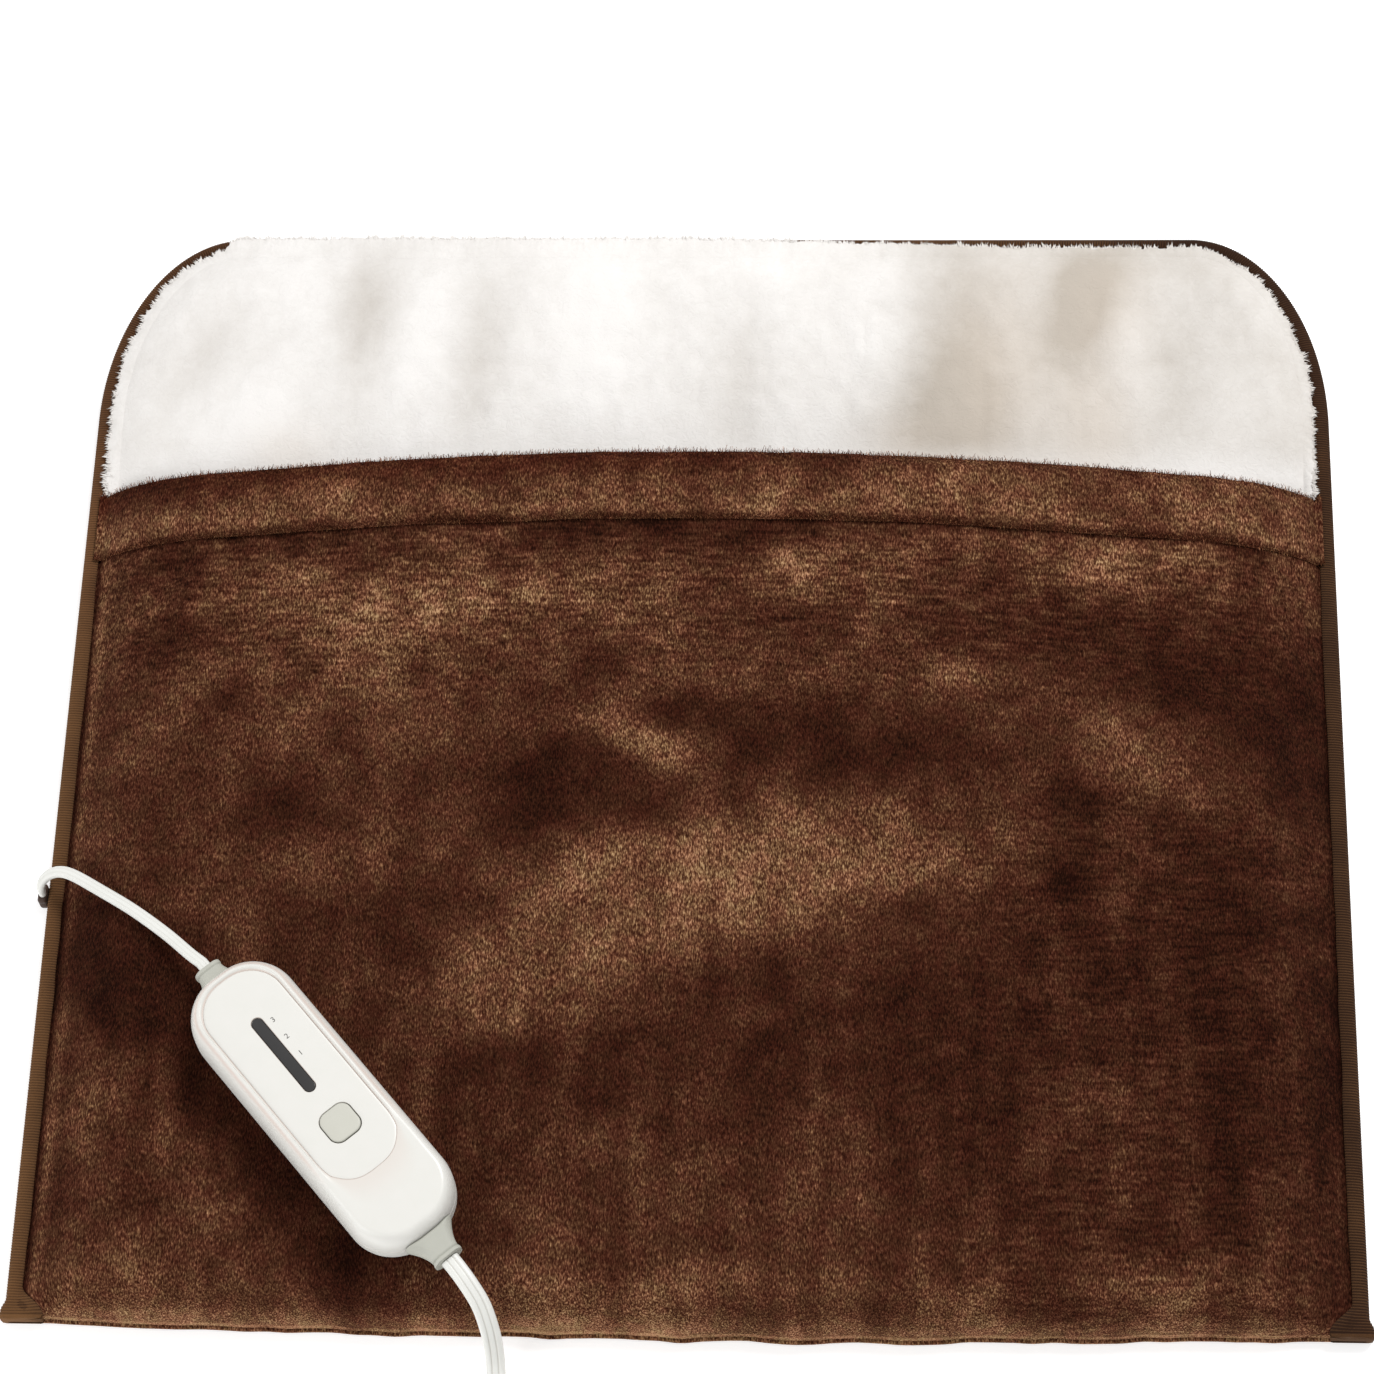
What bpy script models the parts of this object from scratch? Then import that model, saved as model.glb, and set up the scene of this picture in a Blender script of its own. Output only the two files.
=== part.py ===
"""Electric foot warmer: a plush pouch with a heated base, and a corded hand controller.

Frame: X to the right, Y away from the toe edge towards the opening, Z up, metres.
The origin lies on the floor under the middle of the pouch.
"""

import math

import bmesh
import bpy
import numpy as np

# Driving dimensions, in metres unless the name says otherwise.

# Pouch
PAD_WIDTH = 0.560
PAD_DEPTH = 0.520
CORNER_X = 0.060
CORNER_Y = 0.097
OPENING_FROM_TOP = 0.138
GAP = 0.0003

# Edge binding
BINDING_WALL = 0.0010
BINDING_REACH = 0.0072
BINDING_HEIGHT = 0.0090
BINDING_ROUND = 0.0018

# Thickness of each layer lying flat, and of each layer pressed in the binding
COVER_THICK = 0.0025
CARRIER_THICK = 0.0012
WIRE_DIAMETER = 0.0022
WADDING_THICK = 0.0035
LINING_THICK = 0.0080
FRONT_LINING_THICK = 0.0060
FRONT_COVER_THICK = 0.0030
PRESSED_THICK = 0.0014
TOE_WALL = 0.0025

# How the layers swell from the seams
SIDE_SWELL = 0.048
BASE_SIDE_LAG = 0.006
TOE_SWELL = 0.022
BASE_TOE_LAG = 0.0035
CARRIER_INSET = 0.036
WADDING_INSET = 0.034
UNDERSIDE_LIFT = 0.012

# The front lifts in an arch over the feet
ARCH_LIFT = 0.0241
ARCH_FROM_SIDE = 0.045
ARCH_FROM_TOE = 0.160

# Cuff
CUFF_DEPTH = 0.031
CUFF_THICK = 0.0025
CUFF_CROWN = 0.0007
CUFF_NOSE = 0.0026
FACING_THICK = 0.0022
FACING_FROM_SIDE = 0.090
FACING_COLUMNS = 13
FACING_ROWS = 3

# Heating element
WIRE_RUN_PAIRS = 4
WIRE_TURN_STEPS = 4
WIRE_FROM_SIDE = 0.090
WIRE_FROM_TOP = 0.080
WIRE_FROM_TOE = 0.055
WIRE_RETURN_FROM_SIDE = 0.066
WIRE_END_SPACE = 0.008
CUTOUT_SIZE = (0.014, 0.007, 0.0022)
SPLICE_SIZE = (0.009, 0.013, 0.0022)
TAIL_DIAMETER = 0.0018
TAIL_INSET = 0.019
LEAD_ENTRY_FROM_TOE = 0.1885

# Entry grommet on the left edge
GROMMET_OUT = 0.0040
GROMMET_WIDTH = 0.0085
GROMMET_HEIGHT = 0.0090
GROMMET_ROUND = 0.0012

# Controller
BODY_LENGTH = 0.145
BODY_WIDTH = 0.048
BODY_ROUND = 0.021
BODY_HEIGHT = 0.0236
BODY_PARTING = 0.0100
BODY_FROM_SIDE = 0.1312
BODY_FROM_TOE = 0.0812
BODY_TURN = math.radians(-48.8)
SHELL_WALL = 0.0020
SHELL_FLOOR = 0.0024
SHELL_CEILING = 0.0018
BEZEL_INSET = 0.0050
BACK_ROUND = 0.0045

PLATE_FROM_SIDE = 0.0060
PLATE_FROM_TOP_END = 0.0063
PLATE_FROM_LOW_END = 0.0330
PLATE_BOW = 0.0110
PLATE_THICK = 0.0010
PLATE_SINK = 0.0003

WINDOW_FROM_TOP_END = 0.02825
WINDOW_FROM_BUTTON = 0.01855
WINDOW_WIDTH = 0.0048
WINDOW_THICK = 0.0012
GUIDE_WIDTH = 0.0030

BUTTON_SIZE = 0.0146
BUTTON_ROUND = 0.0044
BUTTON_S = 0.0148
BUTTON_PROUD = 0.0006
BUTTON_TRAVEL = 0.0005
BUTTON_RIM = 0.0013
BUTTON_RIM_THICK = 0.0010
BUTTON_STEM = 0.0040

# Circuit board, and what stands on it, placed from the board's ends and its middle line
BOARD_FROM_END = 0.0225
BOARD_FROM_SIDE = 0.0070
BOARD_THICK = 0.0016
BOARD_BASE = 0.0080
SWITCH_SIZE = (0.0062, 0.0062, 0.0034)
PLUNGER_DIAMETER = 0.0033
PLUNGER_LENGTH = 0.0030
PLUNGER_SHOWS = 0.0014
LED_SIZE = (0.0028, 0.0022, 0.0014)
CHIP_SIZE = (0.0086, 0.0060, 0.0016)
CHIP_FROM_END = 0.0180
CHIP_OFF_MIDDLE = 0.0085
CAPACITOR_LENGTH = 0.0140
CAPACITOR_WIDTH = 0.0060
CAPACITOR_HEADROOM = 0.0024
CAPACITOR_FROM_END = 0.0160
CAPACITOR_OFF_MIDDLE = 0.0090
TRIAC_LENGTH = 0.0100
TRIAC_WIDTH = 0.0045
TRIAC_HEADROOM = 0.0035
TRIAC_FROM_END = 0.0160
TRIAC_OFF_MIDDLE = 0.0115
FUSE_DIAMETER = 0.0050
FUSE_LENGTH = 0.0200
FUSE_FROM_END = 0.0240
FUSE_OFF_MIDDLE = 0.0120

BOSS_FROM_END = 0.0145
BOSS_FROM_SIDE = 0.0095
BOSS_DIAMETER = 0.0064
PILOT_DIAMETER = 0.0032
SCREW_DIAMETER = 0.0026
SCREW_LENGTH = 0.0115
HEAD_DIAMETER = 0.0052
HEAD_THICK = 0.0012
HEAD_CLEARANCE = 0.0004
POST_FROM_END = 0.0285
POST_FROM_SIDE = 0.0125
POST_DIAMETER = 0.0040

# Strain reliefs: widths and heights at the body, at the waist and at the outer lip
RELIEF_LIP = 0.0016
RELIEF_ROUND_SHARE = 0.35
CORD_STRAIGHT = 0.004
RELIEF_NECK = (0.0084, 0.0064)
RELIEF_FLANGE = (0.0130, 0.0100)
RELIEF_FLANGE_THICK = 0.0014
PAD_RELIEF_LENGTH = 0.0077
PAD_RELIEF_BODY = (0.0156, 0.0104)
PAD_RELIEF_WAIST = (0.0112, 0.0084)
PAD_RELIEF_END = (0.0124, 0.0094)
MAINS_RELIEF_LENGTH = 0.0125
MAINS_RELIEF_BODY = (0.0230, 0.0120)
MAINS_RELIEF_WAIST = (0.0118, 0.0086)
MAINS_RELIEF_END = (0.0133, 0.0100)
CLAMP_SIZE = (0.0050, 0.0140, 0.0030)
CLAMP_FROM_END = 0.0125

# Cords: width and thickness of each flat cord
PAD_CORD = (0.0054, 0.0032)
MAINS_CORD = (0.0080, 0.0038)

# Routes of the free cords, chosen by hand, as (x, y, z)
PAD_ROUTE = (
    (-0.2098, -0.1111, 0.0378),
    (-0.2218, -0.1003, 0.0340),
    (-0.2374, -0.0883, 0.0305),
    (-0.2536, -0.0774, 0.0262),
    (-0.2656, -0.0698, 0.0232),
    (-0.2722, -0.0672, 0.0214),
    (-0.2776, -0.0674, 0.0190),
    (-0.2811, -0.0694, 0.0160),
)
MAINS_ROUTE = (
    (-0.0848, -0.2525, 0.0370),
    (-0.0798, -0.2596, 0.0330),
    (-0.0768, -0.2665, 0.0270),
    (-0.0752, -0.2725, 0.0190),
    (-0.0745, -0.2790, 0.0118),
    (-0.0743, -0.2880, 0.0070),
    (-0.0745, -0.3000, 0.0056),
    (-0.0752, -0.3180, 0.0054),
)
TAIL_ROUTE = (
    (0.0370, -0.3310, 0.0132),
    (0.0418, -0.3135, 0.0118),
    (0.0547, -0.3008, 0.0092),
    (0.0730, -0.2964, 0.0070),
)
ROUTE_STEP = 0.009
PAD_ROUTE_STEP = 0.006

# Coil of the spare mains cord
COIL_X = -0.0200
COIL_AHEAD = 0.0920
COIL_MEAN_RADIUS = 0.0460
COIL_PITCH = 0.0074
COIL_LAYER = 0.0086
COIL_LAYER_TURNS = 2.75
COIL_START_ANGLE = math.radians(180.0)
COIL_LOOP_POINTS = 24
COIL_BASE = 0.0014
TIE_WIDTH = 0.0060
TIE_THICK = 0.0007
TIE_CLEARANCE = 0.0005
TIE_ANGLE = math.radians(-90.0)

# Plug
PLUG_X = 0.1090
PLUG_AHEAD = 0.0390
PLUG_TURN = math.radians(-4.0)
PLUG_LENGTH = 0.0280
PLUG_FRONT = (0.0250, 0.0130)
PLUG_BACK = (0.0150, 0.0108)
PLUG_RELIEF_LENGTH = 0.0220
PLUG_RELIEF_END = (0.0100, 0.0064)
BLADE_SIZE = (0.0160, 0.0015, 0.0064)
BLADE_SPACING = 0.0127
BLADE_ROOT = 0.0050

# Derived places

HALF_X = PAD_WIDTH / 2
HALF_Y = PAD_DEPTH / 2
OPENING_Y = HALF_Y - OPENING_FROM_TOP
ARCH_HALF_WIDTH = HALF_X - ARCH_FROM_SIDE
ARCH_START_Y = ARCH_FROM_TOE - HALF_Y
LEAD_ENTRY_Y = LEAD_ENTRY_FROM_TOE - HALF_Y
BODY_PLACE = (BODY_FROM_SIDE - HALF_X, BODY_FROM_TOE - HALF_Y)
COIL_CENTRE = (COIL_X, -HALF_Y - COIL_AHEAD)
PLUG_PLACE = (PLUG_X, -HALF_Y - PLUG_AHEAD)

PRESSED_BASE = BINDING_WALL + GAP
PRESSED_LINING = PRESSED_BASE + PRESSED_THICK + GAP
PRESSED_FRONT_LINING = PRESSED_LINING + PRESSED_THICK + GAP
PRESSED_FRONT_COVER = PRESSED_FRONT_LINING + PRESSED_THICK + GAP
PRESSED_TOP = BINDING_HEIGHT - BINDING_WALL - GAP

CARRIER_Z = COVER_THICK + GAP
WIRE_Z = CARRIER_Z + CARRIER_THICK + GAP
WADDING_Z = WIRE_Z + WIRE_DIAMETER + GAP
LINING_Z = WADDING_Z + WADDING_THICK + GAP
FRONT_LINING_Z = LINING_Z + LINING_THICK + GAP
FRONT_COVER_Z = FRONT_LINING_Z + FRONT_LINING_THICK + GAP
FRONT_TOP_Z = FRONT_COVER_Z + FRONT_COVER_THICK

SWELL_START = BINDING_REACH + 2 * GAP
FRONT_RIM_Y = OPENING_Y - CUFF_NOSE - GAP
BODY_Z = FRONT_TOP_Z + GAP
BODY_AXIS_Z = BODY_PARTING
BODY_END = BODY_LENGTH / 2
BODY_SIDE = BODY_WIDTH / 2
PLATE_Z = BODY_HEIGHT - PLATE_SINK - PLATE_THICK
PLATE_HALF_WIDTH = BODY_SIDE - PLATE_FROM_SIDE
PLATE_TOP_S = PLATE_FROM_TOP_END - BODY_END
PLATE_LOW_S = BODY_END - PLATE_FROM_LOW_END
WINDOW_LOW_S = BUTTON_S - WINDOW_FROM_BUTTON
WINDOW_LENGTH = WINDOW_LOW_S + BODY_END - WINDOW_FROM_TOP_END
WINDOW_S = WINDOW_LOW_S - WINDOW_LENGTH / 2
RECESS_Z = PLATE_Z - GAP
CEILING_Z = RECESS_Z - SHELL_CEILING
BUTTON_RIM_Z = CEILING_Z - GAP - BUTTON_RIM_THICK
BOSS_PLACE = (BODY_END - BOSS_FROM_END, BODY_SIDE - BOSS_FROM_SIDE)
POST_PLACE = (BODY_END - POST_FROM_END, BODY_SIDE - POST_FROM_SIDE)
CLAMP_S = BODY_END - CLAMP_FROM_END

BOARD_END = BODY_END - BOARD_FROM_END
BOARD_SIDE = BODY_SIDE - BOARD_FROM_SIDE
SEAT_Z = BOARD_BASE + BOARD_THICK + GAP
PLUNGER_TOP = SEAT_Z + SWITCH_SIZE[2] + PLUNGER_SHOWS
CAPACITOR_HEIGHT = BUTTON_RIM_Z - CAPACITOR_HEADROOM - SEAT_Z
TRIAC_HEIGHT = CEILING_Z - TRIAC_HEADROOM - SEAT_Z

# Shares of the sizes that they shape

SWELL_POWER_SHARE = 0.8
ARCH_POWER_SHARE = 1.1
FRONT_COLUMN_SHARES = (0.0, 0.06, 0.16, 0.30, 0.55, 1.0)
FRONT_ROW_SHARES = (0.0, 0.12, 0.28, 0.54, 1.0)
MID_COLUMN_SHARES = (-0.8, -0.53, -0.27, 0.0, 0.27, 0.53, 0.8)
ARCH_ROW_SHARES = (-0.32, 0.0, 0.23, 0.45, 0.66, 0.84, 1.0)
BASE_RING_SHARES = (0.0, 0.10, 0.24, 0.48, 1.0)
BASE_STATION_SHARES = (-0.75, -0.2)
CORNER_LIMIT_SHARE = 0.8
CORNER_STEPS = 8
BINDING_STATION_SHARES = (-0.5, 0.0, 0.3)
SHELL_CROWN_SHARES = ((0.0, 0.0), (0.03, 0.30), (0.16, 0.62), (0.42, 0.86), (0.72, 0.97), (1.0, 1.0))
BACK_STEPS = 3
LED_SHARES = (-0.37, 0.0, 0.37)
BUTTON_PILLOW_SHARES = ((0.0, 1.0), (0.5, 0.4), (2.0, 0.0))
RELIEF_TAPER_SHARES = ((0.35, 0.45), (0.65, 0.12))
RELIEF_LIP_SHARE = 0.7
PLUG_ROUND_SHARE = 0.3
PLUG_SWELL_SHARES = ((0.0, 0.0), (0.25, 0.35), (0.5, 0.75), (0.75, 0.97), (0.96, 1.0))
PLUG_NOSE_SHARE = 0.95
PLUG_RELIEF_SHARES = (0.5, 0.35)
PLUG_RELIEF_ROOT_SHARE = 0.85
BLOCK_EDGE_SHARE = 0.1
MAINS_TILT_SHARES = (0.45, 0.75)
TAIL_TILT_SHARES = (0.25, 0.75)


def clear_scene():
    """Remove every object that the file starts with."""
    for obj in list(bpy.data.objects):
        bpy.data.objects.remove(obj, do_unlink=True)


def make_material(name, colour, roughness, metallic=0.0):
    """Return a Principled material of one colour, given as linear RGB."""
    material = bpy.data.materials.new(name)
    material.use_nodes = True
    shader = material.node_tree.nodes["Principled BSDF"]
    shader.inputs["Base Color"].default_value = (*colour, 1.0)
    shader.inputs["Roughness"].default_value = roughness
    shader.inputs["Metallic"].default_value = metallic
    return material


def link(name, data, material, parent=None):
    """Put mesh or curve data in the scene as one named object."""
    obj = bpy.data.objects.new(name, data)
    data.materials.append(material)
    bpy.context.scene.collection.objects.link(obj)
    obj.parent = parent
    return obj


def empty(name, place, turn=0.0, parent=None):
    """An empty that carries pieces: turned about the upright axis, and set at its place."""
    obj = bpy.data.objects.new(name, None)
    bpy.context.scene.collection.objects.link(obj)
    obj.parent = parent
    obj.location = place
    obj.rotation_euler = (0.0, 0.0, turn)
    return obj


def mesh_object(name, points, faces, material, parent=None, smooth=40.0):
    """Make an object of points and faces, with its faces turned outwards."""
    mesh = bpy.data.meshes.new(name)
    mesh.from_pydata([tuple(p) for p in points], [], faces)
    shell = bmesh.new()
    shell.from_mesh(mesh)
    bmesh.ops.recalc_face_normals(shell, faces=shell.faces[:])
    if shell.calc_volume(signed=True) < 0:
        bmesh.ops.reverse_faces(shell, faces=shell.faces[:])
    shell.to_mesh(mesh)
    shell.free()
    mesh.shade_smooth()
    mesh.set_sharp_from_angle(angle=math.radians(smooth))
    return link(name, mesh, material, parent)


def loft_faces(count, rings):
    """Faces of a closed loft: quads between rings, and a cap on the first and last."""
    faces = []
    for ring in range(rings - 1):
        for k in range(count):
            a = ring * count + k
            b = ring * count + (k + 1) % count
            faces.append((a, b, b + count, a + count))
    faces.append(tuple(range(count))[::-1])
    faces.append(tuple(range((rings - 1) * count, rings * count)))
    return faces


def loft(name, rings, material, parent=None, smooth=40.0):
    """Make a closed solid from rings of equally many points."""
    points = np.concatenate([np.asarray(ring) for ring in rings])
    return mesh_object(name, points, loft_faces(len(rings[0]), len(rings)), material, parent, smooth)


def slab(name, bottom, top, material, smooth=60.0):
    """Make a closed solid between two grids of points of the same shape.

    Every quad is split along the same diagonal, so that layers stay parallel.
    """
    rows, columns = bottom.shape[:2]
    index = np.arange(rows * columns).reshape(rows, columns)
    faces = []
    for base, turn in ((0, 1), (rows * columns, -1)):
        for j in range(rows - 1):
            for i in range(columns - 1):
                a, b = int(index[j, i]) + base, int(index[j, i + 1]) + base
                c, d = int(index[j + 1, i + 1]) + base, int(index[j + 1, i]) + base
                faces += [(a, b, c)[::turn], (a, c, d)[::turn]]
    rim = [*index[0, :], *index[1:, -1], *index[-1, -2::-1], *index[-2:0:-1, 0]]
    for k, a in enumerate(rim):
        b = rim[(k + 1) % len(rim)]
        shift = rows * columns
        faces.append((int(a), int(a) + shift, int(b) + shift, int(b)))
    points = np.concatenate([bottom.reshape(-1, 3), top.reshape(-1, 3)])
    return mesh_object(name, points, faces, material, None, smooth)


def rounded_rectangle(length, width, radius, steps=6, centre=(0.0, 0.0)):
    """Points of a rectangle with round corners, counter-clockwise, as an (n, 2) array."""
    points = []
    for turn, (sx, sy) in enumerate(((1, 1), (-1, 1), (-1, -1), (1, -1))):
        for k in range(steps + 1):
            angle = (turn + k / steps) * math.pi / 2
            points.append((
                centre[0] + sx * (length / 2 - radius) + radius * math.cos(angle),
                centre[1] + sy * (width / 2 - radius) + radius * math.sin(angle),
            ))
    points = np.array(points)
    apart = np.linalg.norm(points - np.roll(points, 1, axis=0), axis=1) > GAP / 100
    return points[apart]


def circle(radius, steps, centre=(0.0, 0.0)):
    """Points of a circle, as an (n, 2) array."""
    angle = np.linspace(0, 2 * math.pi, steps, endpoint=False)
    return np.stack([centre[0] + radius * np.cos(angle), centre[1] + radius * np.sin(angle)], 1)


def at_height(outline, z):
    """An (n, 2) outline lifted to a height."""
    return np.column_stack([outline, np.full(len(outline), z)])


def prism(name, outline, low, high, material, parent=None):
    """Extrude an outline between two heights."""
    return loft(name, [at_height(outline, low), at_height(outline, high)], material, parent, 30.0)


def box(name, size, centre, base, material, parent=None):
    """A block with chamfered upright corners, standing on a base height."""
    outline = rounded_rectangle(size[0], size[1], BLOCK_EDGE_SHARE * min(size[:2]), 1, centre)
    return prism(name, outline, base, base + size[2], material, parent)


def boolean(target, cutter, operation="DIFFERENCE"):
    """Cut target with cutter, or join them, and keep the cutter as a hidden guide.

    The shells' thin rims need the manifold solver: the exact one leaves them open.
    """
    modifier = target.modifiers.new(cutter.name, "BOOLEAN")
    modifier.solver = "MANIFOLD"
    modifier.object = cutter
    modifier.operation = operation
    cutter.hide_render = True
    cutter.display_type = "WIRE"


def smooth_route(points, step):
    """Points a step apart on a smooth curve through the given points."""
    given = np.asarray(points, float)
    padded = np.vstack([2 * given[0] - given[1], given, 2 * given[-1] - given[-2]])
    fine = []
    for k in range(len(given) - 1):
        p0, p1, p2, p3 = padded[k:k + 4]
        t = np.linspace(0, 1, 24, endpoint=False)[:, None]
        fine.append(0.5 * (2 * p1 + (p2 - p0) * t + (2 * p0 - 5 * p1 + 4 * p2 - p3) * t ** 2
                           + (3 * p1 - 3 * p2 + p3 - p0) * t ** 3))
    fine = np.vstack([*fine, given[-1:]])
    along = np.concatenate([[0], np.cumsum(np.linalg.norm(np.diff(fine, axis=0), axis=1))])
    stations = np.linspace(0, along[-1], max(2, round(along[-1] / step) + 1))
    return np.stack([np.interp(stations, along, fine[:, k]) for k in range(3)], 1)


def tube(name, points, width, thickness, material, tilt=0.0, twist="Z_UP", sides=2, parent=None):
    """A cord along points: round where width equals thickness, and otherwise flat."""
    curve = bpy.data.curves.new(name, "CURVE")
    curve.dimensions = "3D"
    curve.twist_mode = twist
    spline = curve.splines.new("POLY")
    spline.points.add(len(points) - 1)
    tilts = np.broadcast_to(tilt, len(points))
    for target, point, turn in zip(spline.points, points, tilts):
        target.co = (*point, 1.0)
        target.tilt = float(turn)
    curve.bevel_depth = thickness / 2
    curve.extrude = (width - thickness) / 2
    curve.bevel_resolution = sides
    curve.use_fill_caps = True
    return link(name, curve, material, parent)


def side_swell(inset, lag=0.0):
    """How far the layers have opened, from 0 in the binding to 1, at an inset from a side."""
    share = np.clip((np.asarray(inset) - SWELL_START - lag) / SIDE_SWELL, 0.0, 1.0)
    return np.sin(share * math.pi / 2) ** SWELL_POWER_SHARE


def toe_swell(inset):
    """How far the layers have opened at an inset from the toe edge, as a quarter ellipse."""
    share = np.clip(1 - np.asarray(inset) / TOE_SWELL, 0.0, 1.0)
    return np.sqrt(1 - share ** 2)


def arch(x, y):
    """Height that the feet's arch adds to the front layers."""
    across = np.clip(1 - (x / ARCH_HALF_WIDTH) ** 2, 0.0, 1.0) ** ARCH_POWER_SHARE
    along = np.clip((y - ARCH_START_Y) / (OPENING_Y - ARCH_START_Y), 0.0, 1.0)
    return ARCH_LIFT * across * along ** 2 * (3 - 2 * along)


def blend(low, high, share):
    """The value a share of the way from low to high."""
    return low + (high - low) * share


def blend_pair(low, high, share):
    """A (width, height) a share of the way from low to high."""
    return blend(low[0], high[0], share), blend(low[1], high[1], share)


def front_columns(edge_inset):
    """Insets of the front's columns from the left edge, and their x."""
    insets = [edge_inset, *(SWELL_START + SIDE_SWELL * np.array(FRONT_COLUMN_SHARES))]
    left = [-HALF_X + inset for inset in insets]
    middle = [share * (HALF_X - insets[-1]) for share in MID_COLUMN_SHARES]
    return np.array([*left, *middle, *[-x for x in reversed(left)]])


def front_rows():
    """y of the front's rows at full swell, from the toe edge to the opening."""
    toe = [-HALF_Y + TOE_SWELL * share for share in FRONT_ROW_SHARES]
    rest = [blend(ARCH_START_Y, FRONT_RIM_Y, share) for share in ARCH_ROW_SHARES]
    return np.array([*toe, *rest])


def front_surface(pressed, full, toe_wall, columns, rows):
    """Grid of points on one face of a front layer.

    pressed and full are its heights in the binding and lying flat, and toe_wall
    is how far it lies behind the outside of the rolled toe edge.
    """
    x, y = np.meshgrid(columns, rows)
    open_toe = toe_swell(y + HALF_Y)
    share = side_swell(HALF_X - np.abs(x)) * open_toe
    z = blend(pressed, full, share) + arch(x, y)
    return np.stack([x, y + toe_wall * (1 - open_toe), z], -1)


def make_front_lining(material):
    columns = front_columns(BINDING_WALL + GAP)
    rows = front_rows()
    outer_wall = TOE_WALL + GAP
    bottom = front_surface(PRESSED_FRONT_LINING, FRONT_LINING_Z, outer_wall + PRESSED_THICK, columns, rows)
    top = front_surface(PRESSED_FRONT_LINING + PRESSED_THICK, FRONT_LINING_Z + FRONT_LINING_THICK,
                        outer_wall, columns, rows)
    return slab("front_lining", bottom, top, material)


def make_front_cover(material):
    """The front cover, whose toe edge turns down to meet the base cover."""
    columns = front_columns(BINDING_WALL + GAP)
    rows = front_rows()
    bottom = front_surface(PRESSED_FRONT_COVER, FRONT_COVER_Z, TOE_WALL, columns, rows)
    top = front_surface(PRESSED_TOP, FRONT_TOP_Z, 0.0, columns, rows)
    lip_z = PRESSED_BASE + PRESSED_THICK + GAP
    lip_bottom = bottom[:1].copy()
    lip_top = top[:1].copy()
    lip_bottom[..., 2] = lip_z
    lip_top[..., 2] = lip_z
    return slab("front_cover", np.concatenate([lip_bottom, bottom]), np.concatenate([lip_top, top]), material)


def pad_ring(side_inset, toe_inset, along_y):
    """One ring of the base outline, inset from the sides and top and from the toe edge."""
    shrink = min(side_inset, CORNER_LIMIT_SHARE * CORNER_X)
    a, b = CORNER_X - shrink, CORNER_Y - shrink
    right = [(HALF_X - side_inset, -HALF_Y + toe_inset)]
    right += [(HALF_X - side_inset, y) for y in along_y]
    for k in range(CORNER_STEPS + 1):
        angle = k / CORNER_STEPS * math.pi / 2
        right.append((HALF_X - side_inset - a + a * math.cos(angle),
                      HALF_Y - side_inset - b + b * math.sin(angle)))
    right.append((CORNER_X, HALF_Y - side_inset))
    left = [(-x, y) for x, y in reversed(right)]
    return np.array([*right, *left])


def base_stations():
    """y of the stations along a side: two on the way, and two where the opening's step is."""
    return [*(share * HALF_Y for share in BASE_STATION_SHARES), OPENING_Y + GAP, OPENING_Y + CUFF_NOSE]


def base_layer(name, material, pressed, full, side_insets, toe_insets, swells, step_top=None):
    """A base layer as rings that run out along its bottom, round its rim and back over its top.

    pressed and full are (bottom, top) heights at the rim and lying flat. step_top is the
    pressed height of the top past the opening, where no front layers press on it.
    """
    bottoms, tops = [], []
    for side, toe, swell in zip(side_insets, toe_insets, swells):
        ring = pad_ring(side, toe, base_stations())
        past = ring[:, 1] > OPENING_Y + CUFF_NOSE / 2
        rim_top = np.where(past, pressed[1] if step_top is None else step_top, pressed[1])
        bottoms.append(at_height(ring, blend(pressed[0], full[0], swell)))
        tops.append(np.column_stack([ring, blend(rim_top, full[1], swell)]))
    return loft(name, [*reversed(bottoms), *tops], material, None, 50.0)


def make_base_layers(cover, felt, wadding, sherpa):
    """The base's layers from the floor up."""
    lift = [BINDING_WALL + GAP, SWELL_START, SWELL_START + UNDERSIDE_LIFT]
    base_layer("base_cover", cover, (PRESSED_BASE, PRESSED_BASE + PRESSED_THICK), (0.0, COVER_THICK),
               lift, [0.0, *lift[1:]], [0.0, 0.0, 1.0])
    base_layer("heater_carrier", felt, (CARRIER_Z, CARRIER_Z + CARRIER_THICK),
               (CARRIER_Z, CARRIER_Z + CARRIER_THICK), [CARRIER_INSET], [CARRIER_INSET], [1.0])

    rings = SWELL_START + BASE_SIDE_LAG + SIDE_SWELL * np.array(BASE_RING_SHARES)
    sides = [BINDING_WALL + GAP, *rings]
    swells = [0.0, *side_swell(rings, BASE_SIDE_LAG)]
    toe_rim = TOE_WALL + FRONT_LINING_THICK + 2 * GAP
    toes = [toe_rim, *(toe_rim + BASE_TOE_LAG + (ring - rings[0]) for ring in rings)]
    base_layer("base_lining", sherpa, (PRESSED_LINING, PRESSED_LINING + PRESSED_THICK),
               (LINING_Z, LINING_Z + LINING_THICK), sides, toes, swells, PRESSED_TOP)

    inner = rings[rings > WADDING_INSET]
    edges = np.array([WADDING_INSET, *inner])
    heights = blend(PRESSED_LINING, LINING_Z, np.interp(edges, rings, swells[1:])) - GAP
    toe_edges = toe_rim + BASE_TOE_LAG + (edges - rings[0])
    tops = []
    for side, toe, height in zip(edges, toe_edges, heights):
        tops.append(at_height(pad_ring(side, toe, base_stations()), height))
    floor = at_height(pad_ring(edges[0], toe_edges[0], base_stations()), WADDING_Z)
    loft("base_wadding", [floor, *tops], wadding, None, 50.0)


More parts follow.
